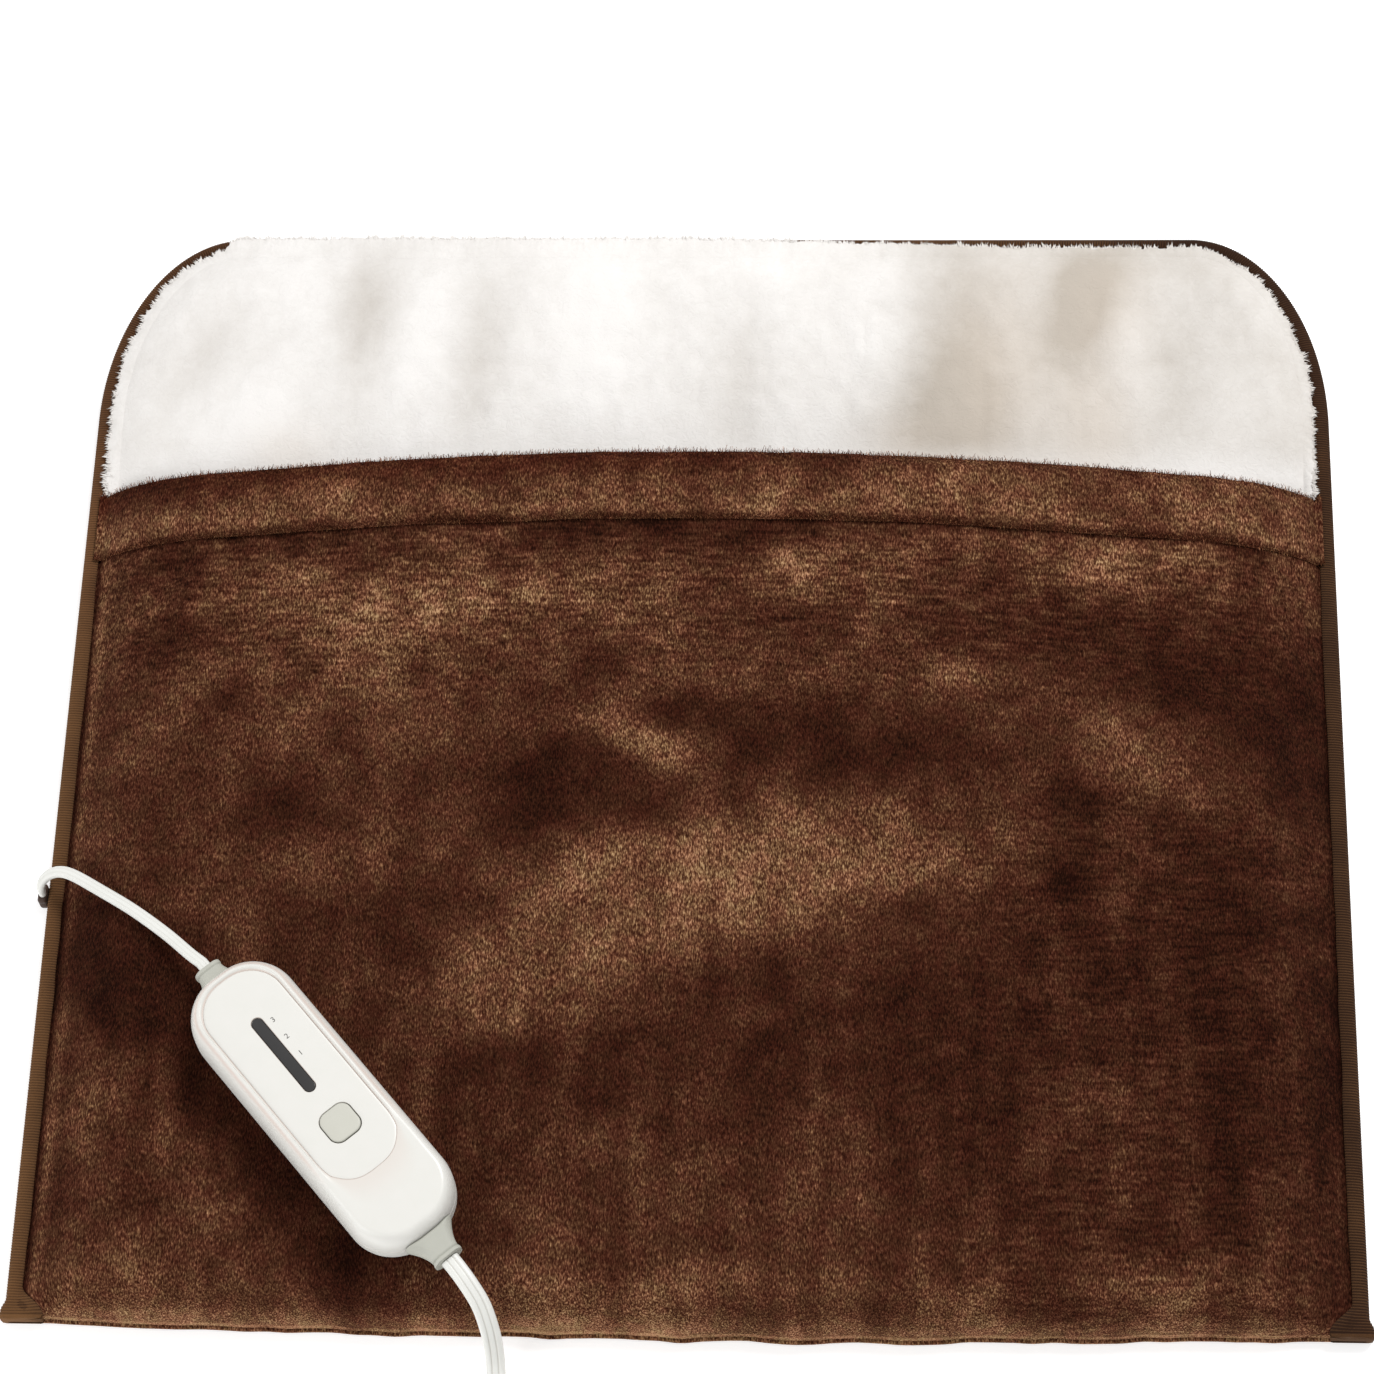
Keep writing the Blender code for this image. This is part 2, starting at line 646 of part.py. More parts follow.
def make_cuff(material, facing_material):
    """The turned-over hem along the opening, and the facing tape inside it.

    The hem's columns lie on the cover's own facets, so that it stays parallel to them.
    """
    columns = front_columns(BINDING_WALL + GAP)
    limit = HALF_X - SWELL_START - 2 * GAP
    x = np.clip(columns[1:-1], -limit, limit)
    swell = np.interp(x, columns, side_swell(HALF_X - np.abs(columns)))

    def height(pressed, full, y):
        return blend(pressed, full, swell) + arch(x, y)

    back_y = OPENING_Y - CUFF_DEPTH
    mid_y = OPENING_Y - CUFF_DEPTH / 2
    back, middle, rim = (height(PRESSED_TOP, FRONT_TOP_Z, y) for y in (back_y, mid_y, FRONT_RIM_Y))
    inside = height(PRESSED_FRONT_LINING, FRONT_LINING_Z, FRONT_RIM_Y)
    section = [
        (back_y, back + GAP),
        (back_y + CUFF_CROWN, back + GAP + CUFF_THICK),
        (mid_y, middle + 2 * GAP + CUFF_THICK + CUFF_CROWN),
        (FRONT_RIM_Y, rim + GAP + CUFF_THICK),
        (OPENING_Y, rim),
        (OPENING_Y - CUFF_CROWN, inside + GAP),
        (FRONT_RIM_Y + GAP, inside + GAP),
        (FRONT_RIM_Y + GAP, rim + 2 * GAP),
        (mid_y, middle + 2 * GAP),
    ]
    rings = np.stack([np.column_stack([x, np.full(len(x), y), z]) for y, z in section], 1)
    loft("cuff_band", list(rings), material, None, 35.0)

    facing_half = HALF_X - FACING_FROM_SIDE
    x, y = np.meshgrid(np.linspace(-facing_half, facing_half, FACING_COLUMNS),
                       np.linspace(back_y, FRONT_RIM_Y, FACING_ROWS))
    under = FRONT_LINING_Z + arch(x, y) - 3 * GAP
    slab("cuff_facing", np.stack([x, y, under - FACING_THICK], -1), np.stack([x, y, under], -1),
         facing_material)


def make_binding(material):
    """The bound edge: a C-section carried up the left side, across the top and down the right."""
    reach, wall, high, soft = BINDING_REACH, BINDING_WALL, BINDING_HEIGHT, BINDING_ROUND
    section = [(reach, 0.0), (soft, 0.0), (0.0, soft), (0.0, high - soft), (soft, high),
               (reach, high), (reach, high - wall), (wall, high - wall), (wall, wall), (reach, wall)]
    along_y = [share * HALF_Y for share in BINDING_STATION_SHARES]
    loops = [at_height(pad_ring(inset, 0.0, along_y), z) for inset, z in section]
    return loft("edge_binding", list(np.stack(loops, 1)), material, None, 50.0)


def heater_route():
    """The heating wire's centreline: up the left side, down in level runs, and back to the splice."""
    half = HALF_X - WIRE_FROM_SIDE
    left = WIRE_RETURN_FROM_SIDE - HALF_X
    top, bottom = HALF_Y - WIRE_FROM_TOP, WIRE_FROM_TOE - HALF_Y
    turns = 2 * WIRE_RUN_PAIRS - 1
    spacing = (top - bottom) / turns
    radius = spacing / 2
    points = [(left, LEAD_ENTRY_Y + WIRE_END_SPACE / 2), (left, top - radius), (left + radius, top)]
    for turn in range(turns):
        side = 1 if turn % 2 == 0 else -1
        middle = top - (turn + 1 / 2) * spacing
        for angle in np.linspace(0, math.pi, WIRE_TURN_STEPS + 1):
            reach = half - radius + radius * math.sin(angle)
            points.append((side * reach, middle + radius * math.cos(angle)))
    points += [(left + radius, bottom), (left, bottom + radius), (left, LEAD_ENTRY_Y - WIRE_END_SPACE / 2)]
    return at_height(np.array(points), WIRE_Z + WIRE_DIAMETER / 2)


def make_heater(wire_material, sleeve_material, cutout_material):
    """The heating wire on its carrier, its cutout, the splice and the tail of the lead."""
    tube("heating_wire", heater_route(), WIRE_DIAMETER, WIRE_DIAMETER, wire_material, sides=1)
    cutout_y = (WIRE_FROM_TOE - WIRE_FROM_TOP) / 2
    box("thermal_cutout", CUTOUT_SIZE, (0.0, cutout_y), WIRE_Z, cutout_material)
    splice_x = WIRE_RETURN_FROM_SIDE - HALF_X - WIRE_DIAMETER / 2 - GAP - SPLICE_SIZE[0] / 2
    box("wire_splice", SPLICE_SIZE, (splice_x, LEAD_ENTRY_Y), WIRE_Z, cutout_material)
    tail_z = COVER_THICK + 2 * GAP + TAIL_DIAMETER / 2
    tail = [(TAIL_INSET - HALF_X, LEAD_ENTRY_Y, tail_z),
            (CARRIER_INSET - TAIL_DIAMETER - HALF_X, LEAD_ENTRY_Y, tail_z)]
    tube("lead_tail", tail, TAIL_DIAMETER, TAIL_DIAMETER, sleeve_material)


def make_grommet(material):
    """Moulded entry on the left edge, whose top takes the pad lead."""
    centre = (-HALF_X - GAP - GROMMET_OUT / 2, LEAD_ENTRY_Y)
    rings = []
    for inset, z in ((GROMMET_ROUND / 2, 0.0), (0.0, GROMMET_ROUND), (0.0, GROMMET_HEIGHT - GROMMET_ROUND),
                     (GROMMET_ROUND / 2, GROMMET_HEIGHT)):
        outline = rounded_rectangle(GROMMET_OUT - 2 * inset, GROMMET_WIDTH - 2 * inset,
                                    GROMMET_ROUND, 3, centre)
        rings.append(at_height(outline, z))
    return loft("lead_entry", rings, material)


def body_outline(inset=0.0, steps=8):
    """The controller's outline, inset by a distance."""
    return rounded_rectangle(BODY_LENGTH - 2 * inset, BODY_WIDTH - 2 * inset, BODY_ROUND - inset, steps)


def plate_outline(growth=0.0, steps=12):
    """The face plate: a round top end, straight sides and a bowed lower end."""
    half = PLATE_HALF_WIDTH + growth
    top = PLATE_TOP_S - growth
    radius = BODY_ROUND - BEZEL_INSET + growth
    across = np.linspace(-half, half, steps + 1)
    bow = PLATE_LOW_S + growth - PLATE_BOW * np.abs(across / half) ** 3
    points = [(s, t) for s, t in zip(bow, across)]
    for k in range(steps // 2 + 1):
        angle = math.pi / 2 + k / (steps // 2) * math.pi / 2
        points.append((top + radius + radius * math.cos(angle), half - radius + radius * math.sin(angle)))
    for k in range(steps // 2 + 1):
        angle = math.pi + k / (steps // 2) * math.pi / 2
        points.append((top + radius + radius * math.cos(angle), radius - half + radius * math.sin(angle)))
    return np.array(points)


def window_outline(growth=0.0):
    """The display window, or with a growth the slot for it."""
    return rounded_rectangle(WINDOW_LENGTH + 2 * growth, WINDOW_WIDTH + 2 * growth, WINDOW_WIDTH / 2 + growth,
                             4, (WINDOW_S, 0.0))


def button_outline(growth=0.0, centre=(BUTTON_S, 0.0)):
    """The button's cap, or with a growth the hole for it."""
    size = BUTTON_SIZE + 2 * growth
    return rounded_rectangle(size, size, BUTTON_ROUND + growth, 4, centre)


def four_corners(place):
    """The four mirror images of a place on the controller, each with a tag for its name."""
    for s_side, along in ((-1, "up"), (1, "low")):
        for t_side, across in ((-1, "left"), (1, "right")):
            yield f"{along}_{across}", (s_side * place[0], t_side * place[1])


def cut_prism(target, name, outline, low, high, material, parent):
    """Cut a straight hole through target."""
    boolean(target, prism(name, outline, low, high, material, parent))


def make_shells(material, hidden, root):
    """The controller's back and front shells, with bosses, posts and holes."""
    low = BODY_PARTING - GAP
    rings = [at_height(body_outline(SHELL_WALL), SHELL_FLOOR), at_height(body_outline(SHELL_WALL), low),
             at_height(body_outline(), low)]
    for k in range(BACK_STEPS + 1):
        angle = k / BACK_STEPS * math.pi / 2
        inset = BACK_ROUND * (1 - math.cos(angle))
        rings.append(at_height(body_outline(inset), BACK_ROUND * (1 - math.sin(angle))))
    back = loft("controller_back_shell", rings, material, root)

    rise = BODY_HEIGHT - BODY_PARTING
    middle = BODY_PARTING + rise / 2
    rings = [at_height(body_outline(BEZEL_INSET), CEILING_Z),
             at_height(body_outline(SHELL_WALL), middle), at_height(body_outline(SHELL_WALL), BODY_PARTING)]
    for inset_share, rise_share in SHELL_CROWN_SHARES:
        rings.append(at_height(body_outline(BEZEL_INSET * inset_share), BODY_PARTING + rise * rise_share))
    front = loft("controller_front_shell", rings, material, root)

    over = 2 * BODY_HEIGHT
    cut_prism(front, "cut_recess", plate_outline(GAP), RECESS_Z, over, hidden, root)
    cut_prism(front, "cut_window", window_outline(GAP), middle, over, hidden, root)
    cut_prism(front, "cut_button", button_outline(GAP), middle, over, hidden, root)
    for tag, place in four_corners(BOSS_PLACE):
        boss = prism("boss_" + tag, circle(BOSS_DIAMETER / 2, 12, place), SHELL_FLOOR + GAP,
                     CEILING_Z + SHELL_CEILING / 2, hidden, root)
        boolean(front, boss, "UNION")
        pilot = circle(PILOT_DIAMETER / 2, 8, place)
        bore = circle(HEAD_DIAMETER / 2 + HEAD_CLEARANCE, 12, place)
        cut_prism(front, "pilot_" + tag, pilot, 0.0, SCREW_LENGTH + HEAD_THICK + GAP, hidden, root)
        cut_prism(back, "hole_" + tag, pilot, -over, low, hidden, root)
        cut_prism(back, "bore_" + tag, bore, -over, HEAD_THICK + GAP, hidden, root)
    for tag, place in four_corners(POST_PLACE):
        post = prism("post_" + tag, circle(POST_DIAMETER / 2, 8, place), SHELL_FLOOR / 2, BOARD_BASE - GAP,
                     hidden, root)
        boolean(back, post, "UNION")
    for side, tag in ((-1, "up"), (1, "low")):
        mouth = [size + 2 * GAP for size in RELIEF_NECK]
        near = relief_ring(side, *mouth, BODY_END - 2 * SHELL_WALL)
        far = near.copy()
        far[:, 0] = side * BODY_LENGTH
        cutter = loft("cut_mouth_" + tag, [near, far], hidden, root)
        boolean(back, cutter)
        boolean(front, cutter)


def relief_ring(side, width, height, s, steps=3):
    """A rounded section across the controller's axis, at a distance s from its middle."""
    outline = rounded_rectangle(width, height, RELIEF_ROUND_SHARE * height, steps)
    flat = BODY_SIDE - BODY_ROUND
    quarter = len(outline) // 4
    flats = np.array([(flat, height / 2), (-flat, height / 2), (-flat, -height / 2), (flat, -height / 2)])
    outline = np.concatenate([outline[:quarter], flats[:2], outline[quarter:3 * quarter], flats[2:],
                              outline[3 * quarter:]])
    return np.column_stack([np.full(len(outline), side * s), outline[:, 0], BODY_AXIS_Z + outline[:, 1]])


def make_relief(name, side, length, body, waist, end, material, root):
    """A flared strain relief: a flange inside the shell, a neck through its wall and a flare outside."""
    half = BODY_END
    inside = half - SHELL_WALL - 3 * GAP
    neck, flange = RELIEF_NECK, RELIEF_FLANGE
    rings = [relief_ring(side, *flange, inside - RELIEF_FLANGE_THICK), relief_ring(side, *flange, inside),
             relief_ring(side, *neck, inside), relief_ring(side, *neck, half + GAP)]
    for share in (1 / 2, 1):
        face = relief_ring(side, *blend_pair(neck, body, share), half)
        beyond = np.clip(np.abs(face[:, 1]) - (BODY_SIDE - BODY_ROUND), 0.0, None)
        face[:, 0] = side * (half - BODY_ROUND + np.sqrt(BODY_ROUND ** 2 - beyond ** 2) + GAP)
        rings.append(face)
    for share, width_share in RELIEF_TAPER_SHARES:
        rings.append(relief_ring(side, *blend_pair(waist, body, width_share), half + length * share))
    rings += [relief_ring(side, *waist, half + length - RELIEF_LIP),
              relief_ring(side, *end, half + length - RELIEF_LIP_SHARE * RELIEF_LIP),
              relief_ring(side, *end, half + length)]
    return loft(name, rings, material, root, 30.0)


def make_face(plate_material, window_material, guide_material, hidden, root):
    """The face plate, the display window in its slot and the light guide below it."""
    over = 2 * BODY_HEIGHT
    plate = prism("face_plate", plate_outline(), PLATE_Z, PLATE_Z + PLATE_THICK, plate_material, root)
    cut_prism(plate, "cut_plate_window", window_outline(GAP), 0.0, over, hidden, root)
    cut_prism(plate, "cut_plate_button", button_outline(GAP), 0.0, over, hidden, root)
    window_top = PLATE_Z + PLATE_THICK - PLATE_SINK
    window_low = window_top - WINDOW_THICK
    prism("display_window", window_outline(), window_low, window_top, window_material, root)
    guide = rounded_rectangle(WINDOW_LENGTH - WINDOW_WIDTH, GUIDE_WIDTH, GUIDE_WIDTH / 4, 1, (WINDOW_S, 0.0))
    prism("light_guide", guide, SEAT_Z + LED_SIZE[2] + GAP, window_low - GAP, guide_material, root)


def make_button(material, root):
    """The power button: a pillowed cap, a rim under the shell and a stem down to the switch."""
    top = BODY_HEIGHT + BUTTON_PROUD
    rim_low, rim_top = BUTTON_RIM_Z, CEILING_Z - GAP
    pivot = empty("button_axis", (BUTTON_S, 0.0, top), parent=root)
    stem = rounded_rectangle(BUTTON_STEM, BUTTON_STEM, BUTTON_STEM / 4, 4)
    rings = [at_height(stem, PLUNGER_TOP + GAP - top), at_height(stem, rim_low - top)]
    for growth, z in ((BUTTON_RIM, rim_low), (BUTTON_RIM, rim_top), (0.0, rim_top)):
        rings.append(at_height(button_outline(growth, (0.0, 0.0)), z - top))
    for inset_share, drop_share in BUTTON_PILLOW_SHARES:
        pillow = button_outline(-inset_share * BUTTON_PROUD, (0.0, 0.0))
        rings.append(at_height(pillow, -drop_share * BUTTON_PROUD))
    loft("power_button", rings, material, pivot)


def make_switch(case_material, plunger_material, root):
    """The tactile switch under the button, and the plunger that slides in it."""
    switch = box("tact_switch", SWITCH_SIZE, (BUTTON_S, 0.0), SEAT_Z, case_material, root)
    bore = circle(PLUNGER_DIAMETER / 2 + GAP, 12, (BUTTON_S, 0.0))
    bore_low = PLUNGER_TOP - PLUNGER_LENGTH - BUTTON_TRAVEL - GAP
    cut_prism(switch, "cut_switch", bore, bore_low, 2 * BODY_HEIGHT, case_material, root)
    pivot = empty("plunger_axis", (BUTTON_S, 0.0, PLUNGER_TOP), parent=root)
    prism("switch_plunger", circle(PLUNGER_DIAMETER / 2, 12), -PLUNGER_LENGTH, 0.0, plunger_material, pivot)


def make_electronics(board_material, black, pale, glass, root):
    """The circuit board and what is soldered to it."""
    board = 2 * BOARD_END, 2 * BOARD_SIDE, BOARD_THICK
    capacitor = CAPACITOR_LENGTH, CAPACITOR_WIDTH, CAPACITOR_HEIGHT
    triac = TRIAC_LENGTH, TRIAC_WIDTH, TRIAC_HEIGHT
    box("circuit_board", board, (0.0, 0.0), BOARD_BASE, board_material, root)
    for number, share in enumerate(LED_SHARES, 1):
        box(f"led_{number}", LED_SIZE, (WINDOW_S + share * WINDOW_LENGTH, 0.0), SEAT_Z, pale, root)
    box("control_chip", CHIP_SIZE, (BOARD_END - CHIP_FROM_END, -CHIP_OFF_MIDDLE), SEAT_Z, black, root)
    box("film_capacitor", capacitor, (BOARD_END - CAPACITOR_FROM_END, CAPACITOR_OFF_MIDDLE), SEAT_Z, pale,
        root)
    box("triac", triac, (TRIAC_FROM_END - BOARD_END, -TRIAC_OFF_MIDDLE), SEAT_Z, black, root)
    barrel = circle(FUSE_DIAMETER / 2, 12, (FUSE_OFF_MIDDLE, SEAT_Z + FUSE_DIAMETER / 2))
    middle = FUSE_FROM_END - BOARD_END
    ends = [np.column_stack([np.full(len(barrel), middle + side * FUSE_LENGTH / 2), barrel])
            for side in (-1, 1)]
    loft("fuse", ends, glass, root)


def make_screws(material, root):
    """The four screws that hold the shells together, driven from the back."""
    for tag, place in four_corners(BOSS_PLACE):
        head, shank = circle(HEAD_DIAMETER / 2, 12, place), circle(SCREW_DIAMETER / 2, 12, place)
        rings = [at_height(head, 0.0), at_height(head, HEAD_THICK), at_height(shank, HEAD_THICK),
                 at_height(shank, HEAD_THICK + SCREW_LENGTH - GAP)]
        loft("housing_screw_" + tag, rings, material, root)


def make_inner_cord(name, clamp_name, side, cord, material, clamp_material, root):
    """The cord's end inside the controller, held down by its clamp."""
    width, thickness = cord
    start = BODY_END - SHELL_WALL - 4 * GAP - RELIEF_FLANGE_THICK
    finish = BOARD_END + GAP
    tube(name, [(side * start, 0.0, BODY_AXIS_Z), (side * finish, 0.0, BODY_AXIS_Z)], width, thickness,
         material, math.pi / 2, "Z_UP", 1, root)
    clamp_low = BODY_AXIS_Z + thickness / 2 + GAP
    box(clamp_name, CLAMP_SIZE, (side * CLAMP_S, 0.0), clamp_low, clamp_material, root)


def coil_points():
    """The coil's centreline: in along the lower layer, up a layer where it reverses, and out."""
    half = COIL_LAYER_TURNS * 2 * math.pi
    count = round(2 * COIL_LAYER_TURNS * COIL_LOOP_POINTS)
    turn = np.linspace(-half, half, count + 1)
    inner = COIL_MEAN_RADIUS - COIL_PITCH * COIL_LAYER_TURNS / 2
    radius = inner + COIL_PITCH * np.abs(turn) / (2 * math.pi)
    climb = np.clip(turn / math.pi + 1 / 2, 0.0, 1.0)
    height = COIL_BASE + MAINS_CORD[0] / 2 + COIL_LAYER * climb ** 2 * (3 - 2 * climb)
    angle = COIL_START_ANGLE + turn + half
    x = COIL_CENTRE[0] + radius * np.cos(angle)
    y = COIL_CENTRE[1] + radius * np.sin(angle)
    return np.column_stack([x, y, height])


def report_coil_gap(points):
    """Print the least gap between the coil's turns, measured on its points."""
    width, thickness = MAINS_CORD
    least = math.inf
    apart = COIL_LOOP_POINTS // 2
    for k, point in enumerate(points[:-apart]):
        others = points[k + apart:]
        flat = np.linalg.norm(others[:, :2] - point[:2], axis=1) - thickness
        tall = np.abs(others[:, 2] - point[2]) - width
        least = min(least, float(np.maximum(flat, tall).min()))
    print(f"coil: least gap to itself {least * 1000:.2f} mm")


def unit(vector):
    """The direction of a vector."""
    return vector / np.linalg.norm(vector)


def free_cord(name, start, out, route, end, back, size, step, material, tilt, twist="Z_UP"):
    """A cord that leaves start straight along out, follows the route, and meets end straight from back."""
    fine = smooth_route([start + CORD_STRAIGHT * out, *route, end + CORD_STRAIGHT * back], step)
    points = np.vstack([start, fine, end])
    tilts = np.interp(np.linspace(0, 1, len(points)), *tilt)
    tube(name, points, *size, material, tilts, twist)


def make_cords(material):
    """The pad lead, the mains cord, its coil and its tail to the plug.

    A tilt of a quarter turn lays the flat cord on its wide side, and none stands it on edge.
    """
    flat, on_edge = math.pi / 2, 0.0
    along = np.array([math.cos(BODY_TURN), math.sin(BODY_TURN), 0.0])
    centre = np.array([*BODY_PLACE, BODY_Z + BODY_AXIS_Z])
    half = BODY_END + GAP
    up = np.array([0.0, 0.0, 1.0])
    entry = np.array([-HALF_X - GAP - GROMMET_OUT / 2, LEAD_ENTRY_Y, GROMMET_HEIGHT + GAP])
    free_cord("pad_lead", centre - along * (half + PAD_RELIEF_LENGTH), -along, PAD_ROUTE, entry, up,
              PAD_CORD, PAD_ROUTE_STEP, material, ((0, 1), (flat, flat)), "MINIMUM")

    coil = coil_points()
    report_coil_gap(coil)
    tube("mains_cord_coil", coil, *MAINS_CORD, material, on_edge, "Z_UP", 1)
    into_coil, out_of_coil = unit(coil[1] - coil[0]), unit(coil[-1] - coil[-2])
    free_cord("mains_cord", centre + along * (half + MAINS_RELIEF_LENGTH), along, MAINS_ROUTE,
              coil[0] - GAP * into_coil, -into_coil, MAINS_CORD, ROUTE_STEP, material,
              (MAINS_TILT_SHARES, (flat, on_edge)))
    to_plug = np.array([math.cos(PLUG_TURN), math.sin(PLUG_TURN), 0.0])
    plug_end = np.array([*PLUG_PLACE, PLUG_FRONT[1] / 2]) - (PLUG_RELIEF_LENGTH + 2 * GAP) * to_plug
    free_cord("mains_cord_tail", coil[-1] + GAP * out_of_coil, out_of_coil, TAIL_ROUTE, plug_end, -to_plug,
              MAINS_CORD, ROUTE_STEP, material, (TAIL_TILT_SHARES, (on_edge, flat)))
    return coil


def make_tie(coil, material):
    """The tie round all the turns of the coil."""
    radii = np.linalg.norm(coil[:, :2] - np.array(COIL_CENTRE), axis=1)
    width, thickness = MAINS_CORD
    low_r, high_r = radii.min() - thickness / 2, radii.max() + thickness / 2
    low_z, high_z = coil[:, 2].min() - width / 2, coil[:, 2].max() + width / 2
    outward = np.array([math.cos(TIE_ANGLE), math.sin(TIE_ANGLE)])
    across = np.array([-outward[1], outward[0]])
    loops = []
    for growth, side in ((0, -1), (TIE_THICK, -1), (TIE_THICK, 1), (0, 1)):
        edge = TIE_CLEARANCE + growth
        size = high_r - low_r + 2 * edge, high_z - low_z + 2 * edge
        outline = rounded_rectangle(*size, TIE_CLEARANCE + edge, 3)
        middle = np.array([(low_r + high_r) / 2, (low_z + high_z) / 2])
        radial, z = outline[:, 0] + middle[0], outline[:, 1] + middle[1]
        flat = np.array(COIL_CENTRE) + radial[:, None] * outward + side * TIE_WIDTH / 2 * across
        loops.append(np.column_stack([flat, z]))
    count = len(loops[0])
    faces = []
    for k in range(4):
        for j in range(count):
            a, b = k * count + j, k * count + (j + 1) % count
            c, d = (k + 1) % 4 * count + (j + 1) % count, (k + 1) % 4 * count + j
            faces.append((a, b, c, d))
    return mesh_object("coil_tie", np.concatenate(loops), faces, material)


def plug_section(x, width, height):
    """A rounded section across the plug, at a distance x from its back."""
    outline = rounded_rectangle(width, height, PLUG_ROUND_SHARE * height, 3)
    return np.column_stack([np.full(len(outline), x), outline[:, 0], PLUG_FRONT[1] / 2 + outline[:, 1]])


def make_plug(material, relief_material, blade_material, hidden):
    """The two-blade plug, lying flat beside the coil."""
    root = empty("plug_frame", (*PLUG_PLACE, 0.0), PLUG_TURN)
    rings = [plug_section(PLUG_LENGTH * share, *blend_pair(PLUG_BACK, PLUG_FRONT, width_share))
             for share, width_share in PLUG_SWELL_SHARES]
    rings.append(plug_section(PLUG_LENGTH, *(PLUG_NOSE_SHARE * side for side in PLUG_FRONT)))
    body = loft("plug_body", rings, material, root)

    middle_share, width_share = PLUG_RELIEF_SHARES
    relief = [plug_section(-GAP - PLUG_RELIEF_LENGTH, *PLUG_RELIEF_END),
              plug_section(-GAP - middle_share * PLUG_RELIEF_LENGTH,
                           *blend_pair(PLUG_RELIEF_END, PLUG_BACK, width_share)),
              plug_section(-GAP, *(PLUG_RELIEF_ROOT_SHARE * side for side in PLUG_BACK))]
    loft("plug_strain_relief", relief, relief_material, root)

    long, thick, tall = BLADE_SIZE
    low = (PLUG_FRONT[1] - tall) / 2
    for side, name in ((-1, "plug_blade_left"), (1, "plug_blade_right")):
        centre = (PLUG_LENGTH + (long - BLADE_ROOT) / 2, side * BLADE_SPACING / 2)
        box(name, (long + BLADE_ROOT, thick, tall), centre, low, blade_material, root)
        slot = box("cut_" + name, (long + BLADE_ROOT + 2 * GAP, thick + 2 * GAP, tall + 2 * GAP), centre,
                   low - GAP, hidden, root)
        boolean(body, slot)


def main():
    clear_scene()
    plush = make_material("flannel", (0.075, 0.029, 0.016), 0.9)
    binding = make_material("binding", (0.105, 0.043, 0.020), 0.8)
    sherpa = make_material("sherpa", (0.87, 0.84, 0.80), 0.95)
    felt = make_material("felt", (0.62, 0.60, 0.56), 0.95)
    wadding = make_material("wadding", (0.80, 0.80, 0.78), 0.95)
    wire = make_material("heating_wire", (0.70, 0.62, 0.50), 0.5)
    shell = make_material("shell_plastic", (0.88, 0.86, 0.81), 0.35)
    plate = make_material("plate_plastic", (0.90, 0.88, 0.84), 0.30)
    grey = make_material("grey_plastic", (0.57, 0.58, 0.50), 0.45)
    window = make_material("smoked_window", (0.045, 0.042, 0.042), 0.15)
    clear = make_material("clear_plastic", (0.80, 0.82, 0.82), 0.15)
    cord = make_material("cord_vinyl", (0.86, 0.85, 0.82), 0.45)
    brown = make_material("brown_rubber", (0.060, 0.028, 0.016), 0.6)
    board = make_material("circuit_board", (0.03, 0.16, 0.07), 0.5)
    black = make_material("black_plastic", (0.02, 0.02, 0.02), 0.5)
    metal = make_material("nickel", (0.62, 0.60, 0.56), 0.3, 1.0)

    make_base_layers(plush, felt, wadding, sherpa)
    make_heater(wire, cord, black)
    make_front_lining(sherpa)
    make_front_cover(plush)
    make_cuff(plush, binding)
    make_binding(binding)
    make_grommet(brown)

    root = empty("controller_frame", (*BODY_PLACE, BODY_Z), BODY_TURN)
    make_shells(shell, black, root)
    make_relief("pad_strain_relief", -1, PAD_RELIEF_LENGTH, PAD_RELIEF_BODY, PAD_RELIEF_WAIST,
                PAD_RELIEF_END, grey, root)
    make_relief("mains_strain_relief", 1, MAINS_RELIEF_LENGTH, MAINS_RELIEF_BODY, MAINS_RELIEF_WAIST,
                MAINS_RELIEF_END, grey, root)
    make_face(plate, window, clear, black, root)
    make_button(grey, root)
    make_switch(black, clear, root)
    make_electronics(board, black, clear, clear, root)
    make_screws(metal, root)
    make_inner_cord("pad_lead_inner", "pad_lead_clamp", -1, PAD_CORD, cord, black, root)
    make_inner_cord("mains_cord_inner", "mains_cord_clamp", 1, MAINS_CORD, cord, black, root)

    coil = make_cords(cord)
    make_tie(coil, black)
    make_plug(shell, grey, metal, black)


main()
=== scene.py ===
"""The looks of the electric foot warmer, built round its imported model.

A plush pouch of brown flannel lined with white sherpa, its overlocked edge, the hand
controller that lies on it, and its flat cords. Frame: X to the right, Y from the toe edge
towards the opening, Z up, metres. The origin is on the floor under the pouch's middle.
"""

import logging
import math
from dataclasses import dataclass, field
from enum import Enum

import bmesh
import bpy
import numpy as np
from mathutils import Matrix


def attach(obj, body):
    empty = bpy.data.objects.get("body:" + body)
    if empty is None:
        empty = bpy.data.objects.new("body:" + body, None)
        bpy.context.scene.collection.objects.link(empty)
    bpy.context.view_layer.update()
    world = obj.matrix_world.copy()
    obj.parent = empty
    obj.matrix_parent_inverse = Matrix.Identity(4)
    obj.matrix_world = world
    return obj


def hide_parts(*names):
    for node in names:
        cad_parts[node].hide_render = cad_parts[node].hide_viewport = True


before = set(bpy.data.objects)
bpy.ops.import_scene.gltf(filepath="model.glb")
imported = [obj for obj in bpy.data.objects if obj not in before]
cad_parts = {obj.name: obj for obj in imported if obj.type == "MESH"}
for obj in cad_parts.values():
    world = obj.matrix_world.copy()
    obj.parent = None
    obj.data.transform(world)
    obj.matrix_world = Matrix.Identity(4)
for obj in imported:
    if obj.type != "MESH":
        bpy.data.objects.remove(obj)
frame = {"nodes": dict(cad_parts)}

logging.basicConfig(level=logging.INFO, format="%(name)s: %(message)s")
log = logging.getLogger("foot_warmer")

